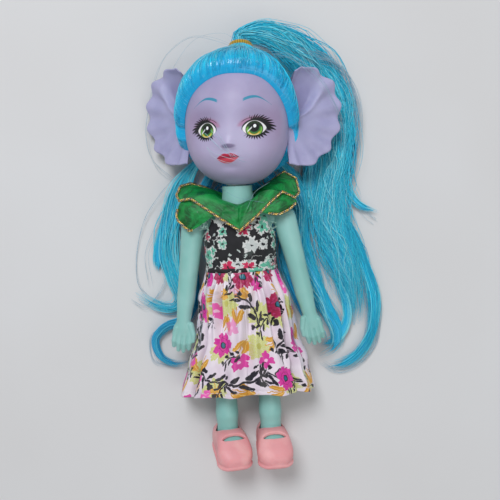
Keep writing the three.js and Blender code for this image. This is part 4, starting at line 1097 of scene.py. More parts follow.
# how many clumps and threads each run of hair has, and its stations: [x, y, z, half width, half depth]
hair_runs = {
    "ponytail": [
        (190, 600, ponytail_run),
        (40, 120, [
            [25, 80, 6, 3.4, 2.2], [28, 70, 4.6, 4.4, 2.3], [29.6, 60, 4.2, 4.8, 2.4],
            [29.4, 50, 3.8, 4.6, 2.4], [30.4, 40, 3.4, 4.2, 2.2], [32.4, 28, 3, 3.4, 2.0],
            [34, 18, 2.4, 2.2, 1.4],
        ]),
        (10, 60, [
            [38, 58, 4, 2.2, 1.8], [39.5, 52, 3.2, 1.6, 1.4], [42.6, 45, 2.8, 1.7, 1.5],
            [46.4, 40.6, 2.4, 1.4, 1.3], [53, 38, 2.2, 0.9, 0.7],
        ]),
        (9, 200, [
            [37, 40, 3, 1.8, 1.4], [43.4, 28, 2.6, 1.9, 1.5], [47.6, 16, 2.6, 2.0, 1.5],
            [49.6, 5, 2.6, 2.0, 1.5], [48.2, -7, 2.4, 1.9, 1.5], [43, -15, 2.2, 1.9, 1.3],
            [36.6, -18.8, 2, 2.1, 1.2], [30, -20.0, 1.4, 2.0, 0.8],
        ]),
    ],
    "lock_right_outer": [
        (40, 220, [
            [13.6, 61, 6, 2.2, 2.4], [20, 54, 4.4, 2.8, 2.6], [24, 44, 3.4, 3.1, 2.6],
            [23.8, 34, 3, 3.4, 2.5], [24.2, 24, 3, 3.5, 2.5], [27.4, 13, 2.8, 3.6, 2.4],
            [31.4, 3, 2.6, 3.4, 2.2], [35.2, -6, 2.4, 2.9, 2], [33.6, -12.4, 2, 2.4, 1.6],
            [28.0, -15.6, 1.4, 2.0, 0.9],
        ]),
        (12, 90, [
            [36, 14, 2.2, 1.8, 1.2], [39.2, 5, 2.4, 2.0, 1.5], [38.8, -3, 2.3, 1.8, 1.5],
            [34.6, -9, 2.1, 1.9, 1.2], [28.0, -11.8, 1.5, 1.5, 0.8],
        ]),
    ],
    "lock_right_inner": [
        (36, 130, [
            [7, 61, 5, 2, 2.2], [12, 53, 3.8, 2.3, 2.4], [16.4, 43, 3, 2.6, 2.2],
            [17.6, 32, 2.8, 2.8, 2.2], [17.8, 20, 2.8, 2.9, 2.2], [21, 8, 2.6, 2.8, 2.2],
            [25.2, -2, 2.4, 2.6, 2], [27.6, -10.5, 1.6, 0.8, 0.9],
        ]),
    ],
    "lock_left_outer": [
        (40, 220, [
            [-12.5, 62, 6, 2.2, 2.4], [-18.6, 55, 4.4, 2.8, 2.6], [-23.6, 46, 3.4, 3.2, 2.6],
            [-26.2, 36, 3, 3.7, 2.5], [-27.2, 26, 2.8, 3.4, 2.4], [-25.6, 17.5, 2.6, 2.9, 2.2],
            [-23.4, 10, 2.3, 2.3, 1.9], [-26.4, 5.6, 2.3, 2.1, 1.7], [-33, 7, 2.4, 2.2, 1.6],
            [-41, 12.2, 1.8, 1.4, 0.8],
        ]),
        (16, 90, [
            [-24, 46, 3.2, 2.8, 1.8], [-28.4, 36, 2.8, 2.6, 1.8], [-31, 26, 2.2, 2.0, 1.5],
            [-31.6, 19, 1.6, 1.4, 0.9],
        ]),
    ],
    "lock_left_inner": [
        (36, 200, [
            [-6, 61, 5, 2, 2.2], [-11, 53, 3.8, 2.3, 2.4], [-16, 43, 3, 2.6, 2.2],
            [-19.2, 31, 2.8, 2.8, 2.2], [-18.6, 18, 2.6, 2.8, 2.2], [-18.8, 8, 2.4, 2.4, 1.9],
            [-22.4, 0.6, 2.2, 2.1, 1.7], [-29.4, -1.4, 2.2, 2.0, 1.6], [-34, -6, 2.2, 2.1, 1.7],
            [-32.4, -12.6, 2.2, 2.0, 1.6], [-27, -15.6, 2, 2.0, 1.3], [-21.5, -15.0, 1.5, 1.6, 0.8],
        ]),
    ],
    "back_hair": [
        (80, 160, [
            [0, 62, 4, 3.6, 2.4], [0, 54, 3, 7, 2.3], [0, 44, 2.2, 11, 1.8], [0, 32, 1.9, 12.5, 1.5],
            [0, 22, 1.7, 12, 1.3], [0, 16.5, 1.2, 9.4, 0.8],
        ]),
    ],
}

# how many hairs follow each path
stray_about_head = [
    (2, [
        [2.1, 101, 14], [-5.8, 104.3, 14], [-14.7, 106.2, 11], [-23.4, 101.5, 8], [-28.6, 93.4, 5],
        [-32.9, 80.3, 3], [-33.8, 71.4, 2], [-32, 63, 1.5], [-25.5, 55, 1.5], [-19.7, 50.1, 2],
    ]),
    (1, [
        [3.6, 101.2, 16], [-2.7, 105.1, 16], [-12.5, 104.2, 13], [-20.5, 97.4, 9], [-27.4, 85.8, 5],
        [-31.6, 75.7, 3], [-32.6, 66, 2], [-29.3, 57.6, 1], [-22.7, 51.9, 1],
    ]),
    (9, [
        [0.6, 99.1, 16], [5.2, 104, 16], [12, 107.5, 14], [18.6, 106.5, 12], [25.9, 102.2, 10],
        [33.9, 96.9, 9],
    ]),
    (9, [[2.1, 99.6, 17], [8.2, 105.3, 16], [14.9, 107.7, 14], [22.2, 105.6, 12], [30.2, 99.1, 10]]),
    (12, [
        [8, 100, 15], [18, 101.5, 14], [29.2, 96.4, 12], [39.5, 92.6, 10], [46.1, 81.9, 6],
        [46.9, 69.4, 4], [43.8, 57.5, 3], [41, 47, 3],
    ]),
    (12, [
        [10, 100, 14], [25.6, 98.8, 12], [36.7, 95.8, 10], [44, 86.3, 7], [45.1, 73.1, 5],
        [43.2, 62.1, 3], [39.6, 50.9, 3],
    ]),
    (2, [[-9.8, 65.4, 38.6], [-6.4, 62.2, 39.6], [-3.2, 59.4, 40.6], [0.4, 57.2, 40.4], [3.6, 56.2, 39]]),
    (2, [[-7.3, 66, 39.4], [-4.4, 62.2, 40.4], [-2.4, 59.2, 41], [-0.6, 56.8, 40.4]]),
    (2, [[-8.9, 61.9, 38.6], [-6.1, 58.9, 39], [-3.2, 57.2, 39.4], [0.6, 56, 39.4]]),
    (5, [[12, 96, 20], [22, 93.6, 24], [31, 86, 25.5], [36.4, 78, 22], [40.2, 70, 14], [41, 60, 8]]),
]
stray_below = [
    (3, [
        [-23.1, 55.5, 3], [-29.5, 49, 3], [-36.2, 38.8, 2], [-40, 26.8, 1], [-39.8, 15.3, 1],
        [-35.5, 9, 1.5],
    ]),
    (3, [[-25.1, 46.5, 3], [-31.8, 36.3, 2], [-36.2, 25.8, 1], [-35.2, 14.4, 1.5]]),
    (9, [
        [41.9, 21.2, 3], [47.7, 12.5, 2], [51.2, 2.4, 1], [50.1, -10.6, 1], [44, -18.6, 1],
        [35.5, -21.3, 1], [28.7, -17.8, 1.5],
    ]),
    (9, [
        [41, 16.7, 3], [46, 8, 2], [47.9, -2, 1], [45.8, -12.6, 1], [39.4, -18.4, 1], [31.7, -19.5, 1.5],
    ]),
    (5, [[42.5, 46.9, 3], [48.2, 37.6, 2], [52, 34.4, 1]]),
    (1, [[-6.4, 48.8, 31], [-0.5, 45.4, 28.5], [5, 43.4, 27], [13.4, 42.8, 26.6]]),
    (1, [[3.6, 41.4, 29], [6.6, 46.4, 30], [11.7, 50.1, 29]]),
    (5, [[-26, 22, 3], [-31, 12, 2], [-36.5, 6.5, 1.2], [-42, 9, 1]]),
    (6, [[-20, 6, 3], [-27, -1, 2], [-35.5, -5, 1.2], [-35, -14.5, 1], [-27, -17.5, 1]]),
]


def lock_frame(stations, steps):
    """Middle, side, up and half sizes down a lock."""
    stations = np.asarray(stations, float)
    middle = curve_through(stations[:, :3], steps)
    forward = unit(np.gradient(middle, axis=0))
    side = unit(triples(forward[:, 1], -forward[:, 0], 0))
    up = np.cross(side, forward)
    place = np.linspace(0, len(stations) - 1, steps)
    rows = [[i, s[3], s[4]] for i, s in enumerate(stations)]
    return middle, side, up, along(rows, place), along(rows, place, 2), length_along(middle)


# how the threads of each layer are drawn
hair_layers = {
    "clumps": {"radius": 0.16, "spread": 0.84, "wave": 0.9, "shortest": 0.56},
    "threads": {"radius": 0.075, "spread": 1.0, "wave": 1.0, "shortest": 0.5},
}
core_steps, core_columns, thread_steps, thread_sides = 100, 64, 38, 3


def lock_threads(stations, count, rng, radius, spread, wave, shortest):
    """Threads in families: each family waves together, and single threads stray from it."""
    fine = 260
    middle, side, up, half_width, half_height, run = lock_frame(stations, fine)
    families = max(4, count // 24)
    centre_r = np.sqrt(rng.random(families)) * spread * 0.8
    centre_turn = rng.uniform(0, 2 * math.pi, families)
    family_wave = rng.uniform(24, 44, families)
    family_phase = rng.uniform(0, 2 * math.pi, families)
    paths, radii, tones = [], [], []
    for _ in range(count):
        k = rng.integers(families)
        reach = shortest + (1 - shortest) * rng.random() ** 0.9
        where = np.linspace(0, reach * (fine - 1), thread_steps)
        at = where.astype(int).clip(0, fine - 2)
        mix = (where - at)[:, None]
        pick = lambda values: values[at] * (1 - mix) + values[at + 1] * mix
        strays = rng.random() < 0.1
        scatter = 0.5 if strays else 0.24
        a = centre_r[k] * math.cos(centre_turn[k]) + rng.normal(0, scatter)
        b = centre_r[k] * math.sin(centre_turn[k]) + rng.normal(0, scatter * 0.7)
        s = pick(run[:, None])[:, 0]
        phase = family_phase[k] + rng.normal(0, 0.35)
        wander = wave * np.sin(2 * math.pi * s / family_wave[k] + phase)
        own = rng.uniform(0, 2 * math.pi)
        own_wave = np.sin(2 * math.pi * s / (family_wave[k] * 0.6) + own)
        wander = wander + (0.7 if strays else 0.2) * wave * own_wave
        # the threads leave the bunch together and spread as they go
        open_out = 0.55 + 0.45 * smoothstep(s / 14)
        lateral = (a * open_out + 0.2 * wander * open_out) * pick(half_width[:, None])[:, 0]
        height = (np.clip(b, -1.1, 1.25) + 0.14 * wander * math.cos(phase)) * pick(half_height[:, None])[:, 0]
        path = pick(middle) + pick(side) * lateral[:, None] + pick(up) * height[:, None]
        size = radius * rng.uniform(0.65, 1.3)
        taper = smoothstep(np.linspace(1, 0, thread_steps) / 0.22) * 0.93 + 0.07
        paths.append(path)
        radii.append(size * taper)
        # each thread's tone: by chance per family and per thread, and paler for threads on the top of the
        # lock and darker for those underneath, a painted shade
        tones.append(np.clip(0.4 + 0.22 * b + 0.34 * math.sin(7 * k) + rng.normal() * 0.13, 0, 1))
    return np.array(paths), np.array(radii), np.array(tones)


def thread_places(paths, tones, sides):
    """Tone, length run and a number of its own for every point of a set of threads."""
    length = length_along(paths, 1)[..., None]
    tone = tones[:, None, None]
    return triples(tone, length, np.arange(sides) * 0.5 + tone * 90).reshape(-1, 3)


def lock_core(stations, seed):
    """The combed body of a lock, ridged down its length: its skin, and the numbers kept at its points."""
    middle, side, up, half_width, half_height, run = lock_frame(stations, core_steps)
    turn = circle(core_columns)
    t = np.linspace(0, 1, core_steps)[:, None]
    ridge = fine_noise(core_columns, 2, seed) * (1 - t) + fine_noise(core_columns, 2, seed + 1) * t
    lump = 0.7 + 0.1 * ridge
    close = smoothstep(t / 0.03) * smoothstep((0.96 - t) / 0.2) * 0.98 + 0.02
    sideways = half_width[:, None] * np.cos(turn) * lump * close
    upward = half_height[:, None] * (np.sin(turn) * 0.9 - 0.12) * lump * close
    rings = middle[:, None] + side[:, None] * sideways[..., None] + up[:, None] * upward[..., None]
    # the core keeps a low tone, so it shows the deep blue: painted shade for the hair deep inside the lock;
    # its ridges are paler than its grooves, also a painted shade
    place = triples(np.clip(0.1 + 0.25 * ridge, 0, 1), run[:, None], turn * 3)
    return skin(rings), np.vstack([place.reshape(-1, 3), place[0, :1], place[-1, :1]])


def build_lock(name, finish):
    """One loose length: a combed core, clumps of hair over it and single threads round those."""
    rng = np.random.default_rng(sum(map(ord, name)))
    for layer, settings in hair_layers.items():
        parts, places = [], []
        for clumps, threads, stations in hair_runs[name]:
            if layer == "clumps":
                core, place = lock_core(stations, clumps)
                parts.append(core)
                places.append(place)
            count = clumps * 3 if layer == "clumps" else threads
            paths, radii, tones = lock_threads(stations, count, rng, **settings)
            parts.append(tubes(paths, radii, thread_sides))
            places.append(thread_places(paths, tones, thread_sides))
        points, faces = join(parts)
        lift_over(points, 0.06)
        replacing = [name] if layer == "clumps" else ()
        obj = piece(f"{name}_{layer}", points, faces, finish, np.vstack(places), None, replacing)
        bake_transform(obj)


def build_stray_hairs():
    """Fibres that have sprung out of the bunch and the locks, on curves of their own."""
    rng = np.random.default_rng(77)
    steps = 60
    taper = 0.3 + 0.7 * smoothstep((1 - np.linspace(0, 1, steps)) / 0.1)
    for name, runs, spread, body in (
        ("hairs_astray_over_head", stray_about_head, 1.3, "head"),
        ("hairs_astray_on_surface", stray_below, 1.1, "torso"),
    ):
        paths, radii, tones = [], [], []
        for copies, run in runs:
            for _ in range(copies):
                moved = run + rng.normal(0, spread * 0.5, 3) * [1, 1, 0.2]
                moved = moved + rng.normal(0, 0.35, moved.shape) * [1, 1, 0.3]
                path = curve_through(moved, steps)
                lift_over(path, 0.12)
                paths.append(path)
                radii.append(rng.uniform(0.035, 0.06) * taper)
                tones.append(rng.uniform(0, 0.55))
        paths, tones = np.array(paths), np.array(tones)
        points, faces = tubes(paths, np.array(radii), 4)
        piece(name, points, faces, loose_fibre, thread_places(paths, tones, 4), body)


# ---- Body ----

# [height, half width, half depth] up the body, and down the limbs; an arm also has a shift forward
torso_stations = [
    [8, 10, 7.0], [13, 11.4, 7.5], [19.5, 11.6, 7.3], [26, 12, 7.6], [32.6, 12, 7.6], [37.6, 11.8, 7.4],
    [40.2, 11.1, 6.8], [42.0, 8.4, 6.0], [43.6, 5.9, 5.5], [48.4, 5.4, 5.4], [49.8, 5.4, 5.4],
]


def build_torso(name, side, node):
    """Half of the body's shell, split down its sides, with the web that carries the hip pin."""
    wall = 1.3
    turn = np.linspace(0, math.pi, 120)
    rings = []
    for at in np.linspace(torso_stations[0][0], torso_stations[-1][0], 120):
        wide, deep = along(torso_stations, at), along(torso_stations, at, 2)
        walls = []
        for round_half, thinner in ((turn, 0), (turn[::-1], wall)):
            depth = side * (0.1 + (deep - thinner) * np.sin(round_half))
            walls.append(triples((wide - thinner) * np.cos(round_half), at, depth))
        rings.append(np.vstack(walls))
    parts = [skin(np.array(rings))]
    web = level_rings([[-5, 2.0, 3.4], [-3, 2.4, 5.4], [9.2, 2.4, 5.4]], 60, rows=30)
    web[..., 2] = side * np.abs(web[..., 2]) + side * 0.1
    points, faces = join(parts + [skin(web)])
    piece(name, laid(points), faces, mint, points, "torso", [node])


arm_stations = [
    [-3.85, 1.2, 1.2, 0], [-2.9, 2.8, 2.8, 0], [-1.2, 3.95, 3.95, 0], [0, 4.2, 4.2, 0],
    [6, 4.05, 4.15, 0], [13, 3.7, 3.9, 0], [21, 3.4, 3.6, 0], [28, 3.3, 3.3, 0.5], [33.5, 2.8, 2.7, 1.3],
    [36.5, 2.55, 2.3, 1.7], [39, 3.5, 2.1, 2.0], [41.2, 3.8, 1.9, 2.0], [42.6, 3.3, 1.4, 1.9],
]


def build_arm(name, splay, mirror, body, node):
    """A moulded arm with a closed, softly fingered hand, and its flanged post."""
    rows = [[-s[0], s[1], s[2], 0, s[3]] for s in arm_stations][::-1]
    parts = [skin(level_rings(rows, 48, rows=110))]
    for x, knuckle, tip in ((-2.85, 44.0, 46.4), (-0.95, 44.6, 47.4), (0.95, 44.4, 47.1), (2.75, 43.6, 45.7)):
        parts.append(capsule([x * 0.86, -39.0, 2.9], [x, -knuckle, 3.0], 1.0, 0.96))
        parts.append(capsule([x, -knuckle, 3.0], [x * 0.98, -tip, 2.0], 0.96, 0.76))
    parts.append(capsule([-2.7, -37.4, 3.0], [-4.0, -40.8, 3.3], 1.25, 1.0))
    parts.append(capsule([-4.0, -40.8, 3.3], [-4.1, -43.2, 3.0], 1.0, 0.8))
    made = [(rotated(points, splay, "Z"), faces) for points, faces in parts]
    post, flange = cylinder(2.1, 4.2, [-5.3, 0, 0], "X"), cylinder(3.0, 1.2, [-6.7, 0, 0], "X")
    points, faces = join(made + [post, flange])
    sign = -1 if mirror else 1
    points = points * [sign, 1, 1] + [sign * shoulder_x, shoulder_height, 0]
    moulding(name, laid(points), faces, mint, 0.16, 2, body, node)


leg_stations = [
    [5.7, 1.6, 1.8], [4.6, 3.0, 3.6], [2.8, 4.2, 5.3], [0, 5, 6.2], [-6, 4.9, 5.8], [-14, 4.5, 5.2],
    [-22, 4.0, 4.5], [-28, 3.9, 4.4], [-34, 4.2, 4.5], [-38, 3.8, 3.8], [-42, 3.9, 4.0],
]
# [place along the foot, half width, top, bottom]
foot_rows = [
    [-5, 1.5, -3.5, -7.5], [-4.1, 2.9, -1.6, -8.7], [-2, 3.5, 0.4, -9], [2.4, 3.7, 0.2, -9],
    [5.4, 4.1, -0.5, -9], [8.4, 4.6, -1.3, -9], [10.6, 4.3, -2.8, -9], [12.6, 2.8, -5.2, -8.6],
    [13.0, 1.2, -6.8, -8.0],
]
sole_low = -11.2
shoe_rows = [
    [-6.3, 2.6, -3, sole_low + 1], [-5.2, 4.3, -2, sole_low + 0.1], [-2, 5.3, -1.2, sole_low],
    [4.2, 5.8, 0.5, sole_low], [8, 6.1, 0.3, sole_low], [10, 6.4, -1.1, sole_low],
    [11.8, 6.4, -2.5, sole_low], [13.6, 5.6, -3.9, sole_low + 0.1], [15.2, 4, -5.5, sole_low + 0.6],
    [15.8, 2.2, -6.9, sole_low + 1.4],
]


def foot_rings(table, count=72, rows=70, over=0.0):
    """Rounded-square rings from heel to toe, off a table like `foot_rows`."""
    z = np.linspace(table[0][0], table[-1][0], rows)
    half, top, low = (along(table, z, c) for c in (1, 2, 3))
    turn = circle(count)
    middle, tall = (top + low) / 2, (top - low) / 2 + over
    x = (half + over)[:, None] * signed_power(np.sin(turn), 0.75)
    y = middle[:, None] - tall[:, None] * signed_power(np.cos(turn), 0.7)
    return triples(x, y, z[:, None])


def place_foot(points, yaw):
    """Tips a foot or shoe down by the ankle's pitch and turns it in or out."""
    points = rotated(points, foot_pitch, "X")
    return rotated(points, yaw, "Y") + [0, ankle_height, 0]


def build_leg(name, side, yaw, body, node):
    """A leg with its hub for the hip pin and the foot that fills the shoe."""
    rows = [[s[0], s[1], s[2]] for s in leg_stations][::-1]
    limb = level_rings(rows, 64, rows=120)
    knee = bump(limb[..., 1], -19, 3.2) * smoothstep(limb[..., 2] / 3)
    limb[..., 2] += 0.25 * knee
    limb[..., 0] = np.maximum(limb[..., 0], 2.7 - leg_spacing)
    hub = cylinder(5.8, 9.1, [2.7 + 4.55 - leg_spacing, 0, 0], "X", 64)
    foot, foot_faces = skin(foot_rings(foot_rows))
    points, faces = join([skin(limb), hub, (place_foot(foot, yaw), foot_faces)])
    points = points * [side, 1, 1] + [side * leg_spacing, 0, 0]
    bore = cylinder(1.35, 12, [side * 5, 0, 0], "X")
    moulding(name, laid(points), faces, mint, 0.22, 3, body, node, [(laid(bore[0]), bore[1])])


def build_shoe(name, side, yaw, body, node):
    """A strap shoe: a thick sole, a rounded toe box, and an opening and a slot either side of the strap."""
    drawn = curve_through(shoe_rows, 90)
    upper = foot_rings(drawn, 96, 130)
    sole_line = sole_low + 2.1
    near = bump(upper[..., 1] - sole_line, 0.25, 0.3)
    centre = upper.mean(1, keepdims=True)
    upper -= (upper - centre) * [1, 0, 0.3] * near[..., None] * 0.06
    sole_table = [[z * 1.012, half + 0.12, min(sole_line, top), low] for z, half, top, low in drawn]
    points, faces = join([skin(upper), skin(foot_rings(sole_table, 96, 100))])
    tall = cylinder(1, 14, [0, 0, 0], "Y", 48)
    cuts = [
        (tall[0] * [4.6, 1, 4.3] + [0, 2.6, 0.9], tall[1]),
        (tall[0] * [4.2, 1, 1.05] + [0, 3.6, 9.0], tall[1]),
        skin(foot_rings(foot_rows, 60, 60, 0.25)),
    ]
    ankle_rows = [[-42, 4.2, 4.3], [-38, 4.1, 4.1], [-34, 4.5, 4.8], [-30, 4.6, 4.9]]
    ankle = skin(level_rings(ankle_rows, 48, rows=30))
    to_side = lambda p: laid(p * [side, 1, 1] + [side * leg_spacing, 0, 0])
    placed = [(to_side(place_foot(p, yaw)), f) for p, f in cuts] + [(to_side(ankle[0]), ankle[1])]
    upper = to_side(place_foot(points, yaw))
    moulding(name, upper, faces, salmon, 0.2, 5, body, node, placed)


# ---- Dress ----


def torso_surface(turn, y, over):
    """A point on a layer over the body, `turn` round from the back by the left side."""
    wide, deep = along(torso_stations, y) + over, along(torso_stations, y, 2) + over
    return triples(wide * np.sin(turn), y, -deep * np.cos(turn))


def build_bodice():
    """The bodice in printed lawn: side seams, drag lines from the waist, raw armholes."""
    columns, rows = 340, 140
    turn, y = np.meshgrid(circle(columns), np.linspace(waist_height, 43.2, rows))
    drag = 0.16 * np.sin(9 * turn + 0.25 * y) * np.exp(-((y - waist_height) / 5))
    drag += 0.1 * np.sin(5 * turn - 0.5 * y + 1.0) * np.sin(0.31 * y)
    drag += 0.09 * np.sin(17 * turn + 0.9 * np.sin(0.4 * y))
    over = 0.75 + drag - 0.18 * bump(np.abs(np.sin(turn)), 1, 0.0012)  # drawn in at the side seams
    outer = torso_surface(turn, y, over + 0.25)
    inner = torso_surface(turn, y, over - 0.2)
    points, faces = skin(np.concatenate([outer, inner[::-1]]), looped=True)
    armholes = [cylinder(5.2, 12, [s * 14.8, shoulder_height, 0], "X", 72) for s in (1, -1)]
    # the slit down the back, over the fastener strips
    corner = np.array([[-0.35, 19.7, -20], [0.35, 19.7, -20], [0.35, 60, -20], [-0.35, 60, -20]])
    box = np.vstack([corner, corner + [0, 0, 17]])
    sides = [[0, 1, 2, 3], [7, 6, 5, 4], [0, 4, 5, 1], [1, 5, 6, 2], [2, 6, 7, 3], [3, 7, 4, 0]]
    obj = piece("bodice_lawn", points, faces, lawn)
    settle(obj, add_cuts(obj, armholes + [(box, sides)]))
    at = points_of(obj)
    around = np.arctan2(at[:, 0], at[:, 2] * 1.45)
    place = triples(around * round_waist, at[:, 1], 0)
    obj.data.vertices.foreach_set("co", (laid(at) * MM).astype(np.float32).ravel())
    obj.data.update()
    keep_place(obj.data, place)
    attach(obj, "torso")
    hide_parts("bodice")
    return obj


def floor_depth(y, height):
    """How far back, in the body's frame, a point lies that is `height` over the table."""
    return (height - hip_lift - y * math.sin(lie_angle)) / math.cos(lie_angle)


skirt_top = 19.2
skirt_width_top = [[0, 13.1], [0.25, 16.3], [0.52, 17.4], [0.76, 21], [1, 24]]
skirt_width_base = [[0, 13.1], [0.25, 17.2], [0.52, 21], [0.76, 24.4], [1, 25.8]]
skirt_front_rows = [[0, 8.8], [0.3, 10.4], [0.6, 11.6], [1, 12]]


def skirt_surface(turn, share):
    """The outside of the skirt: gathers at the waist that open into soft folds."""
    y = skirt_top + (hem_height - skirt_top) * share
    floor = floor_depth(y, 0)
    front = along(skirt_front_rows, share)
    fall = smoothstep(share / 0.34)
    back = -8.8 * (1 - fall) + (floor - 1.5) * fall
    low = np.clip((1 - np.sin(turn)) / 2, 0, 1) ** 2
    half = along(skirt_width_top, share) * (1 - low) + along(skirt_width_base, share) * low
    sideways = np.abs(np.cos(turn))
    # broad folds of the sheet, as in its solid
    grown = 1.3 * smoothstep(share) * np.cos(11 * turn + 0.6) * (1 - 0.6 * sideways)
    # gathers: sharp and uneven at the waist, running out at uneven lengths
    uneven = 0.5 + 0.5 * np.sin(7 * turn + 1.3) * np.sin(3 * turn - 0.7)
    fade = np.exp(-share / (0.13 + 0.16 * uneven))
    gather_wave = np.abs(np.sin(13 * turn + 0.9 * np.sin(4 * turn) + 1.2 * share)) ** 0.6
    grown = grown + (gather_wave - 0.66) * 1.7 * fade * smoothstep(share / 0.04)
    # long soft folds that run the length, wandering a little
    run = turn + 0.06 * np.sin(5 * share + 2 * turn)
    grown = grown + 0.42 * np.sin(21 * run + 1.0) * smoothstep(share / 0.2) * (1 - 0.6 * share)
    grown = grown + 0.3 * np.sin(8 * run + 4 * share) * smoothstep(share / 0.3)
    # deep folds: one down the middle from the waist, one that crosses to the right, one at the left
    for at, slant, wide, depth, first, last in (
        (84, 9, 0.055, 2.3, 0.03, 0.85),
        (64, -12, 0.07, 2.3, 0.05, 0.85),
        (116, 7, 0.05, 2.1, 0.03, 0.7),
        (101, -3, 0.035, 1.9, 0.02, 0.42),
        (74, -4, 0.035, 1.3, 0.02, 0.4),
        (130, 4, 0.05, 1.9, 0.04, 0.5),
        (46, -6, 0.06, 2.2, 0.2, 1.3),
        (137, 9, 0.07, 1.9, 0.35, 1.3),
        (95, -6, 0.08, 1.6, 0.5, 1.4),
    ):
        fold = (turn - np.radians(at + slant * share)) / wide
        shape = bump(fold, 0, 1) - 0.35 * bump(np.abs(fold), 2, 1)
        grown = grown - depth * shape * smoothstep((share - first) / 0.12) * smoothstep((last - share) / 0.35)
    # the hem is turned under and stitched
    grown = grown - 0.16 * bump(share, 0.962, 0.007) + 0.1 * smoothstep((share - 0.965) / 0.01)
    x = (half + grown) * signed_power(np.cos(turn), 0.8) + 0.7 * np.sin(math.pi * share)
    z = ((front - back) / 2 + grown) * signed_power(np.sin(turn), 0.8) + (front + back) / 2
    drawn_up = hem_lift * share**3 * np.clip(0.5 + 0.5 * np.sin(turn), 0, 1)
    ripple = 0.25 * np.sin(9 * turn + 1.0) * share**4
    return triples(x, y + drawn_up + ripple, z)


def build_skirt(name, side):
    """Half of the skirt, from the front's middle line to the back's."""
    columns, rows = 330, 148
    thick = 0.5
    begin = -side * math.pi / 2
    span = np.linspace(begin, begin + math.pi, columns)
    share = np.linspace(0, 1, rows)[:, None]
    outer = skirt_surface(span[None, :] + 0 * share, share + 0 * span[None, :])
    # no fold goes into the body
    wide, deep = along(torso_stations, outer[..., 1]) + 1.5, along(torso_stations, outer[..., 1], 2) + 1.5
    round_body = np.hypot(outer[..., 0] / wide, outer[..., 2] / deep)
    push = 1 + (1 / np.clip(round_body, 0.3, 1) - 1) * smoothstep((outer[..., 1] - 5) / 3)
    outer[..., [0, 2]] *= push[..., None]
    across = np.gradient(outer, axis=1)
    inward = unit(triples(-across[..., 2], 0, across[..., 0]), tiny)
    floor = floor_depth(outer[..., 1], 0.05)
    lift_over(outer, floor)
    inner = outer + inward * thick
    lift_over(inner, floor + thick * 0.8)
    seam_x = 0.7 * np.sin(math.pi * share[:, 0])
    for edge in (0, -1):
        outer[:, edge, 0] = seam_x
        inner[:, edge, 0] = seam_x
    width = (span[None, :] - math.pi / 2) * -24.0
    place = triples(width, length_along(outer), 0)
    # rows run round the cloth: down the outside, back up the inside, and closed at both seams
    loop = np.concatenate([outer, inner[::-1]])
    points = loop.reshape(-1, 3)
    faces = grid_faces(2 * rows, columns, False, True)
    for edge in (0, columns - 1):
        for r in range(rows - 1):
            low, high = r * columns + edge, (r + 1) * columns + edge
            low_in, high_in = (2 * rows - 1 - r) * columns + edge, (2 * rows - 2 - r) * columns + edge
            faces.append([low, high, high_in, low_in])
    kept = np.concatenate([place, place[::-1]]).reshape(-1, 3)
    return piece(name, laid(points), faces, satin, kept)


def build_hem_stitches(name, side):
    """The row of stitches that holds the hem, on the outside of the cloth."""
    count = 50
    begin = -side * math.pi / 2
    turn = begin + math.pi * (np.arange(count)[:, None] + 0.2 + np.linspace(0, 0.55, 5)[None, :]) / count
    path = skirt_surface(turn, np.full(turn.shape, 0.9615))
    out = triples(np.cos(turn), 0, np.sin(turn))
    path = path + out * (0.12 + 0.1 * np.sin(np.linspace(0, math.pi, 5)))[None, :, None]
    lift_over(path, floor_depth(path[..., 1], 0.15))
    points, faces = tubes(path, 0.09, 5)
    place = np.zeros((len(points), 3))
    return piece(name, laid(points), faces, white_thread, place)


def build_waist_seam():
    """The bodice's lower edge turned over the gathers."""
    turn = np.linspace(0, 2 * math.pi, 900)[:-1]
    rings = []
    for out, y in ((0.35, 19.0), (0.8, 19.1), (1.05, 19.6), (1.0, 20.3), (0.7, 20.7), (0.4, 20.2)):
        edge = torso_surface(turn, y, 0.55 + out * 0.85)
        rings.append(edge + [0, 0.12, 0] * np.sin(17 * turn)[:, None])
    points, faces = skin(rings, looped=True)
    rise = np.repeat([19, 19.2, 19.6, 20.2, 20.6, 20.9], len(turn))
    place = triples(np.tile(turn * round_waist, 6), rise, 0)
    piece("waist_seam", laid(points), faces, lawn, place, "torso")


# [angle round from the front, reach outward, height over the neckline, forward place]
collar_edge_rows = [
    [-180, 0, -1, -9.8], [-158, -8, 2.6, -9], [-140, -12.4, 4.8, -7.6], [-122, -17, 6.4, -5],
    [-104, -20.6, 5.6, -2], [-90, -22, 2.6, 1.2], [-76, -20.8, 0.6, 4.4], [-60, -16.4, 1.2, 6.8],
    [-46, -12.2, -1.8, 8.4], [-24, -6.6, -5.8, 10.4], [0, 0.3, -10.6, 11], [24, 6.6, -5.6, 10.4],
    [46, 12.2, -0.6, 8.2], [60, 16, 2.2, 5.8], [76, 20.4, -0.2, 4], [90, 22.2, 1.4, 1],
    [104, 21.4, 6.4, -2], [122, 17.4, 9, -5], [140, 12, 5.4, -7.4], [158, 7.4, 2.6, -8.8],
    [180, 0, -1, -9.8],
]
collar_foot, collar_inner = shoulder_height + 7, 6.6


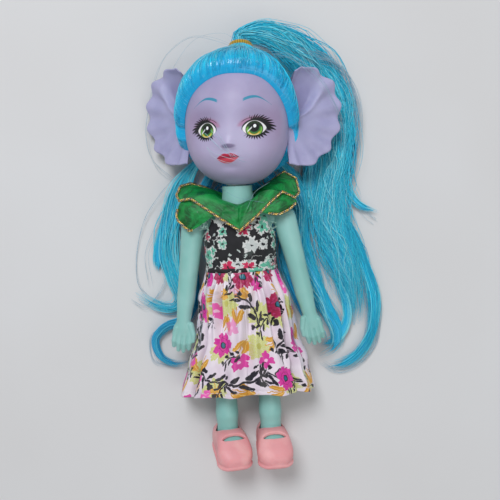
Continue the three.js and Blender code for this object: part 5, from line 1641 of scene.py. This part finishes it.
def collar_surface(round_neck, out, lift=0.0):
    """A point on the collar: angle round from the front in degrees, and share of the way to its edge."""
    edge = triples(*(along(collar_edge_rows, round_neck, column) for column in (1, 2, 3)))
    edge = edge + [0, collar_foot, 0]
    away = np.abs(round_neck)
    angle = np.radians(round_neck)
    # the neckline dips at the throat
    dip = -1.3 * bump(away, 0, 26)
    inner = triples(collar_inner * np.sin(angle), collar_foot + dip, collar_inner * np.cos(angle))
    out = np.asarray(out, float)[..., None]
    p = inner * (1 - out) + edge * out
    # crushed: creases that fan out from the neckline, and the petals' own roll
    o = out[..., 0]
    crease = 0.5 * np.sin(angle * 11 + 2.2 * o * 3 + 1.5 * np.sin(5 * angle)) * np.sin(math.pi * o)
    crease = crease + 0.34 * np.sin(angle * 27 + 6 * o + 2 * np.sin(9 * o + 3 * angle)) * o * (1.05 - o)
    crease = crease + 0.3 * np.sin(13 * o + 9 * angle) * bump(away, 0, 30) * np.sin(math.pi * o)
    swell = (1.2 + 1.6 * bump(away, 72, 26)) * np.sin(math.pi * o**0.8) + lift
    p[..., 1] += swell * 0.9
    p[..., 2] += (swell + crease) * np.cos(angle) + 0.4 * swell * np.abs(np.sin(angle))
    p[..., 0] += crease * np.sin(angle) * 0.6
    return p


collar_leaves = {
    "right": [
        [[6, 41, 9.9], [9.5, 43, 9.2], [13, 45, 7.4], [16, 46.6, 5]],
        [[8.4, 40.4, 10], [11.8, 41.4, 9.4], [15.6, 43.2, 7.8], [18.4, 45.2, 4.9]],
        [[9.8, 40, 9.6], [13.2, 40.2, 9.2], [17.2, 41.6, 7.4], [20.2, 44, 4.4]],
        [[10.6, 39.8, 9], [14, 39.6, 8.6], [18, 40.8, 6.8], [21, 43.4, 4]],
    ],
    "left": [
        [[-7, 41, 9.8], [-10.5, 43, 9], [-14, 45, 7.2], [-17.4, 46.8, 4.4]],
        [[-10.4, 38.8, 9], [-13.8, 40.4, 8.6], [-17.2, 42.4, 7.2], [-20.4, 44.8, 4.2]],
        [[-13.8, 36.6, 7.6], [-16.2, 37.4, 7.4], [-18.9, 38.8, 6.4], [-21.6, 41.8, 3.8]],
        [[-16.6, 35, 6.6], [-17.6, 35.1, 6.4], [-19.6, 36.4, 5.6], [-21.9, 39.6, 3.4]],
    ],
}


def leaf_surface(side, across, down):
    """A point on an under-leaf of the collar, drawn smoothly through its rows of points."""
    rows = np.array(collar_leaves[side], float)
    spread = np.stack([curve_through(row, 60) for row in rows])
    full = np.stack([curve_through(spread[:, i], 60) for i in range(60)], 1)
    i, j = np.broadcast_arrays((down * 59).astype(int), (across * 59).astype(int))
    return full[i, j]


def build_leaf(side):
    """A petal of the under layer that hangs over the shoulder."""
    count = 60
    t = np.linspace(0, 1, count)
    across, down = np.meshgrid(t, t)
    sheet = leaf_surface(side, across, down)
    crinkle = 0.3 * np.sin(11 * across + 4 * down) * down
    crinkle = crinkle + 0.22 * np.sin(23 * across - 7 * down) * down * (1 - 0.5 * down)
    along_row = np.gradient(sheet, axis=1)
    along_drop = np.gradient(sheet, axis=0)
    normal = unit(np.cross(along_row, along_drop), tiny)
    normal *= np.sign(normal[..., 2:3] + tiny)
    over = sheet + normal * (crinkle + 0.1)[..., None]
    under = sheet + normal * (crinkle - 0.1)[..., None]
    rings = np.concatenate([over, under[:, ::-1]], 1)
    points, faces = skin(rings)
    flat = triples(across * 16, down * 9 + 40, 0)
    kept = np.concatenate([flat, flat[:, ::-1]], 1).reshape(-1, 3)
    kept = np.vstack([kept, kept[:1], kept[-1:]])
    leaf = piece(f"collar_leaf_{side}", laid(points), faces, organza, kept)
    edge = over[-1] if side == "right" else np.vstack([over[-1], over[::-1, -1][1:30]])
    made = [leaf] + lay_braid(f"leaf_{side}_braid", curve_through(edge[::6], 240) + [0, 0, 0.3], False)
    for obj in made:
        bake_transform(obj)
    return leaf


def build_collar():
    """The upper layer of the collar, in one ring round the neck."""
    columns, steps = 620, 48
    around = -180 + 360 * (np.arange(columns) + 0.5) / columns
    out = np.linspace(0, 1, steps)[:, None]
    around, out = np.broadcast_arrays(around[None, :], out)
    over = collar_surface(around, out, 0.16)
    under = collar_surface(around, out, -0.12)
    points, faces = skin(np.concatenate([over, under[::-1]]), looped=True)
    place = triples(np.radians(around) * (6 + 12 * out), out * 14, 0)
    place = np.concatenate([place, place[::-1]]).reshape(-1, 3)
    return piece("collar_organza", laid(points), faces, organza, place, "torso", ["collar"])


def lay_braid(name, path, closed, body=None):
    """Two gold yarns and a dark one laid up round each other along a path."""
    if closed:
        path = np.vstack([path, path[:1]])
    run = length_along(path)
    length = run[-1]
    at = np.linspace(0, length, max(60, int(length * 10)))
    middle = np.stack([np.interp(at, run, path[:, i]) for i in range(3)], -1)
    forward = unit(np.gradient(middle, axis=0), tiny)
    side = unit(np.cross(forward, [0.03, 0.02, 1.0]))
    up = np.cross(side, forward)
    turns = round(length / 2.6)
    made = []
    for strand_name, phase, radius, finish in (
        ("gold_a", 0.0, 0.27, gold),
        ("gold_b", 2 * math.pi / 3, 0.27, gold),
        ("core", 4 * math.pi / 3, 0.24, dark_thread),
    ):
        spin = 2 * math.pi * turns * at / length + phase
        strand = middle + (side * np.cos(spin)[:, None] + up * np.sin(spin)[:, None]) * 0.25
        points, faces = tubes(strand[None], radius, 8)
        place = triples(0, at, 0).repeat(8, 0)
        made.append(piece(f"{name}_{strand_name}", laid(points), faces, finish, place, body))
    return made


def build_braid():
    """The gold braid along the collar's own edge."""
    around = -180 + 360 * (np.arange(1500) + 0.5) / 1500
    made = lay_braid("collar_braid", collar_surface(around, np.ones(1500), 0.4), True, "torso")
    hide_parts("collar_braid")


def build_frayed_threads():
    """Ends of sewing thread that stick out of the armholes, most of them at the left."""
    rng = np.random.default_rng(5)
    steps = 12
    for name, side, count, low, high in (("left", -1, 34, 34.5, 41.5), ("right", 1, 10, 33, 37)):
        paths = []
        for _ in range(count):
            y = rng.uniform(low, high)
            start = np.array([side * rng.uniform(10.6, 11.8), y, rng.uniform(5.4, 7.6)])
            heading = np.array([side * rng.uniform(0.1, 1.0), rng.normal(0.2, 0.7), rng.uniform(0.1, 0.7)])
            length = rng.uniform(1.2, 3.2)
            bend = rng.normal(0, 0.5, 3)
            t = np.linspace(0, 1, steps)[:, None]
            paths.append(start + heading * length * t + bend * t**2)
        points, faces = tubes(np.array(paths), 0.075, 5)
        place = triples(0, np.tile(np.repeat(np.arange(steps) * 0.3, 5), count), 0)
        piece(f"frayed_threads_{name}", laid(points), faces, mint_thread, place, "torso")


build_head()
build_ear("ear_right_vinyl", False, "ear_right")
build_ear("ear_left_vinyl", True, "ear_left")
build_hair_cap()
build_tie()
for name, start, end, finish in (
    ("ponytail", (8, 103, 14), (30, 94, 8), long_hair),
    ("lock_right_outer", (14, 60, 6), (24, 40, 3), long_hair),
    ("lock_right_inner", (8, 60, 5), (18, 40, 3), under_hair),
    ("lock_left_outer", (-14, 60, 6), (-25, 40, 3), long_hair),
    ("lock_left_inner", (-8, 60, 5), (-18, 40, 3), under_hair),
    ("back_hair", (0, 62, 4), (0, 40, 2), under_hair),
):
    build_lock(name, finish)

build_stray_hairs()

build_torso("body_front", 1, "torso_front_shell")
build_torso("body_back", -1, "torso_back_shell")
build_arm("arm_right_moulded", math.radians(12), False, "right_arm", "arm_right")
build_arm("arm_left_moulded", math.radians(8.6), True, "left_arm", "arm_left")
for side, body, yaw in ((1, "right", math.radians(7)), (-1, "left", -math.radians(15))):
    build_leg(f"leg_{body}_moulded", side, yaw, body + "_leg", "leg_" + body)
    build_shoe(f"shoe_{body}_vinyl", side, yaw, body + "_leg", "shoe_" + body)

bodice = build_bodice()
skirt_right = build_skirt("skirt_right_half", 1)
skirt_left = build_skirt("skirt_left_half", -1)
for half in (skirt_right, build_hem_stitches("hem_stitches_right", 1)):
    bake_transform(half)
for half in (skirt_left, build_hem_stitches("hem_stitches_left", -1)):
    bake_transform(half)
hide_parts("skirt")
build_waist_seam()
collar = build_collar()
build_braid()
leaf_right = build_leaf("right")
leaf_left = build_leaf("left")
build_frayed_threads()

# pieces kept as their solids
for node, finish in (
    ("neck_knob", inner_plastic("mint polypropylene, inner knob", "#8CC9B7", 0.45)),
    ("hip_axle", inner_plastic("drawn steel wire, bright", "#B8BCC0", 0.3, 1.0)),
    ("fastener_hook_strip", inner_plastic("white nylon hook tape", "#ECECEA", 0.8)),
    ("fastener_loop_strip", inner_plastic("white nylon loop tape", "#E4E4E2", 0.85)),
):
    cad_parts[node].data.materials.clear()
    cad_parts[node].data.materials.append(finish)

# ---- The table, the light and the camera ----

# pale card: matt, and so even that only a faint cloudiness shows
table_finish = Finish("pale matt card", Roughness=0.7)
table_spot = table_finish.add("ShaderNodeTexCoord").outputs["Object"]
table_finish.colour(
    table_finish.mix(table_finish.noise(table_spot, 14.0, 2).within(0.2, 0.8), "#D6D4D3", "#DAD9D9")
)
table_reach, table_gap = 1500, 0.2
corners = [[x * table_reach, y * table_reach, 0] for x, y in ((-1, -1), (1, -1), (1, 1), (-1, 1))]
table = piece("table", corners, [[0, 1, 2, 3]], table_finish.material)
table.location.z = -table_gap * MM

world = bpy.data.worlds.new("room")
bpy.context.scene.world = world
world.use_nodes = True
room_light = world.node_tree.nodes["Background"].inputs
room_light["Color"].default_value = linear("#E8EEF4")
room_light["Strength"].default_value = 0.42


def soft_light(name, place, aim, size, power, hue):
    """A round lamp of `size` metres and `power` watts."""
    data = bpy.data.lights.new(name, "AREA")
    data.shape, data.size, data.energy = "DISK", size, power
    data.color = linear(hue)[:3]
    lamp = bpy.data.objects.new(name, data)
    bpy.context.scene.collection.objects.link(lamp)
    lamp.location = place
    lamp.rotation_mode = "QUATERNION"
    lamp.rotation_quaternion = (Vector(aim) - Vector(place)).to_track_quat("-Z", "Y")


soft_light("window", (-0.12, 0.36, 0.7), (0, 0.03, 0), 0.3, 3.3, "#F8FBFF")
soft_light("ceiling", (0.3, -0.3, 0.8), (0, 0.02, 0), 0.7, 1.4, "#FFF8F0")

camera_data = bpy.data.cameras.new("camera")
camera_data.sensor_width = 36
camera_data.lens = 62.1
camera_data.clip_start, camera_data.clip_end = 0.01, 10
camera = bpy.data.objects.new("camera", camera_data)
bpy.context.scene.collection.objects.link(camera)
# straight over the doll, and turned by about three degrees: their cosine and sine
level, slant = 0.99875, 0.05
camera.matrix_world = Matrix(
    ((level, slant, 0, 0.0035), (-slant, level, 0, 0.0261), (0, 0, 1, 0.330), (0, 0, 0, 1))
)
bpy.context.scene.camera = camera
bpy.context.scene.view_settings.view_transform = "Standard"
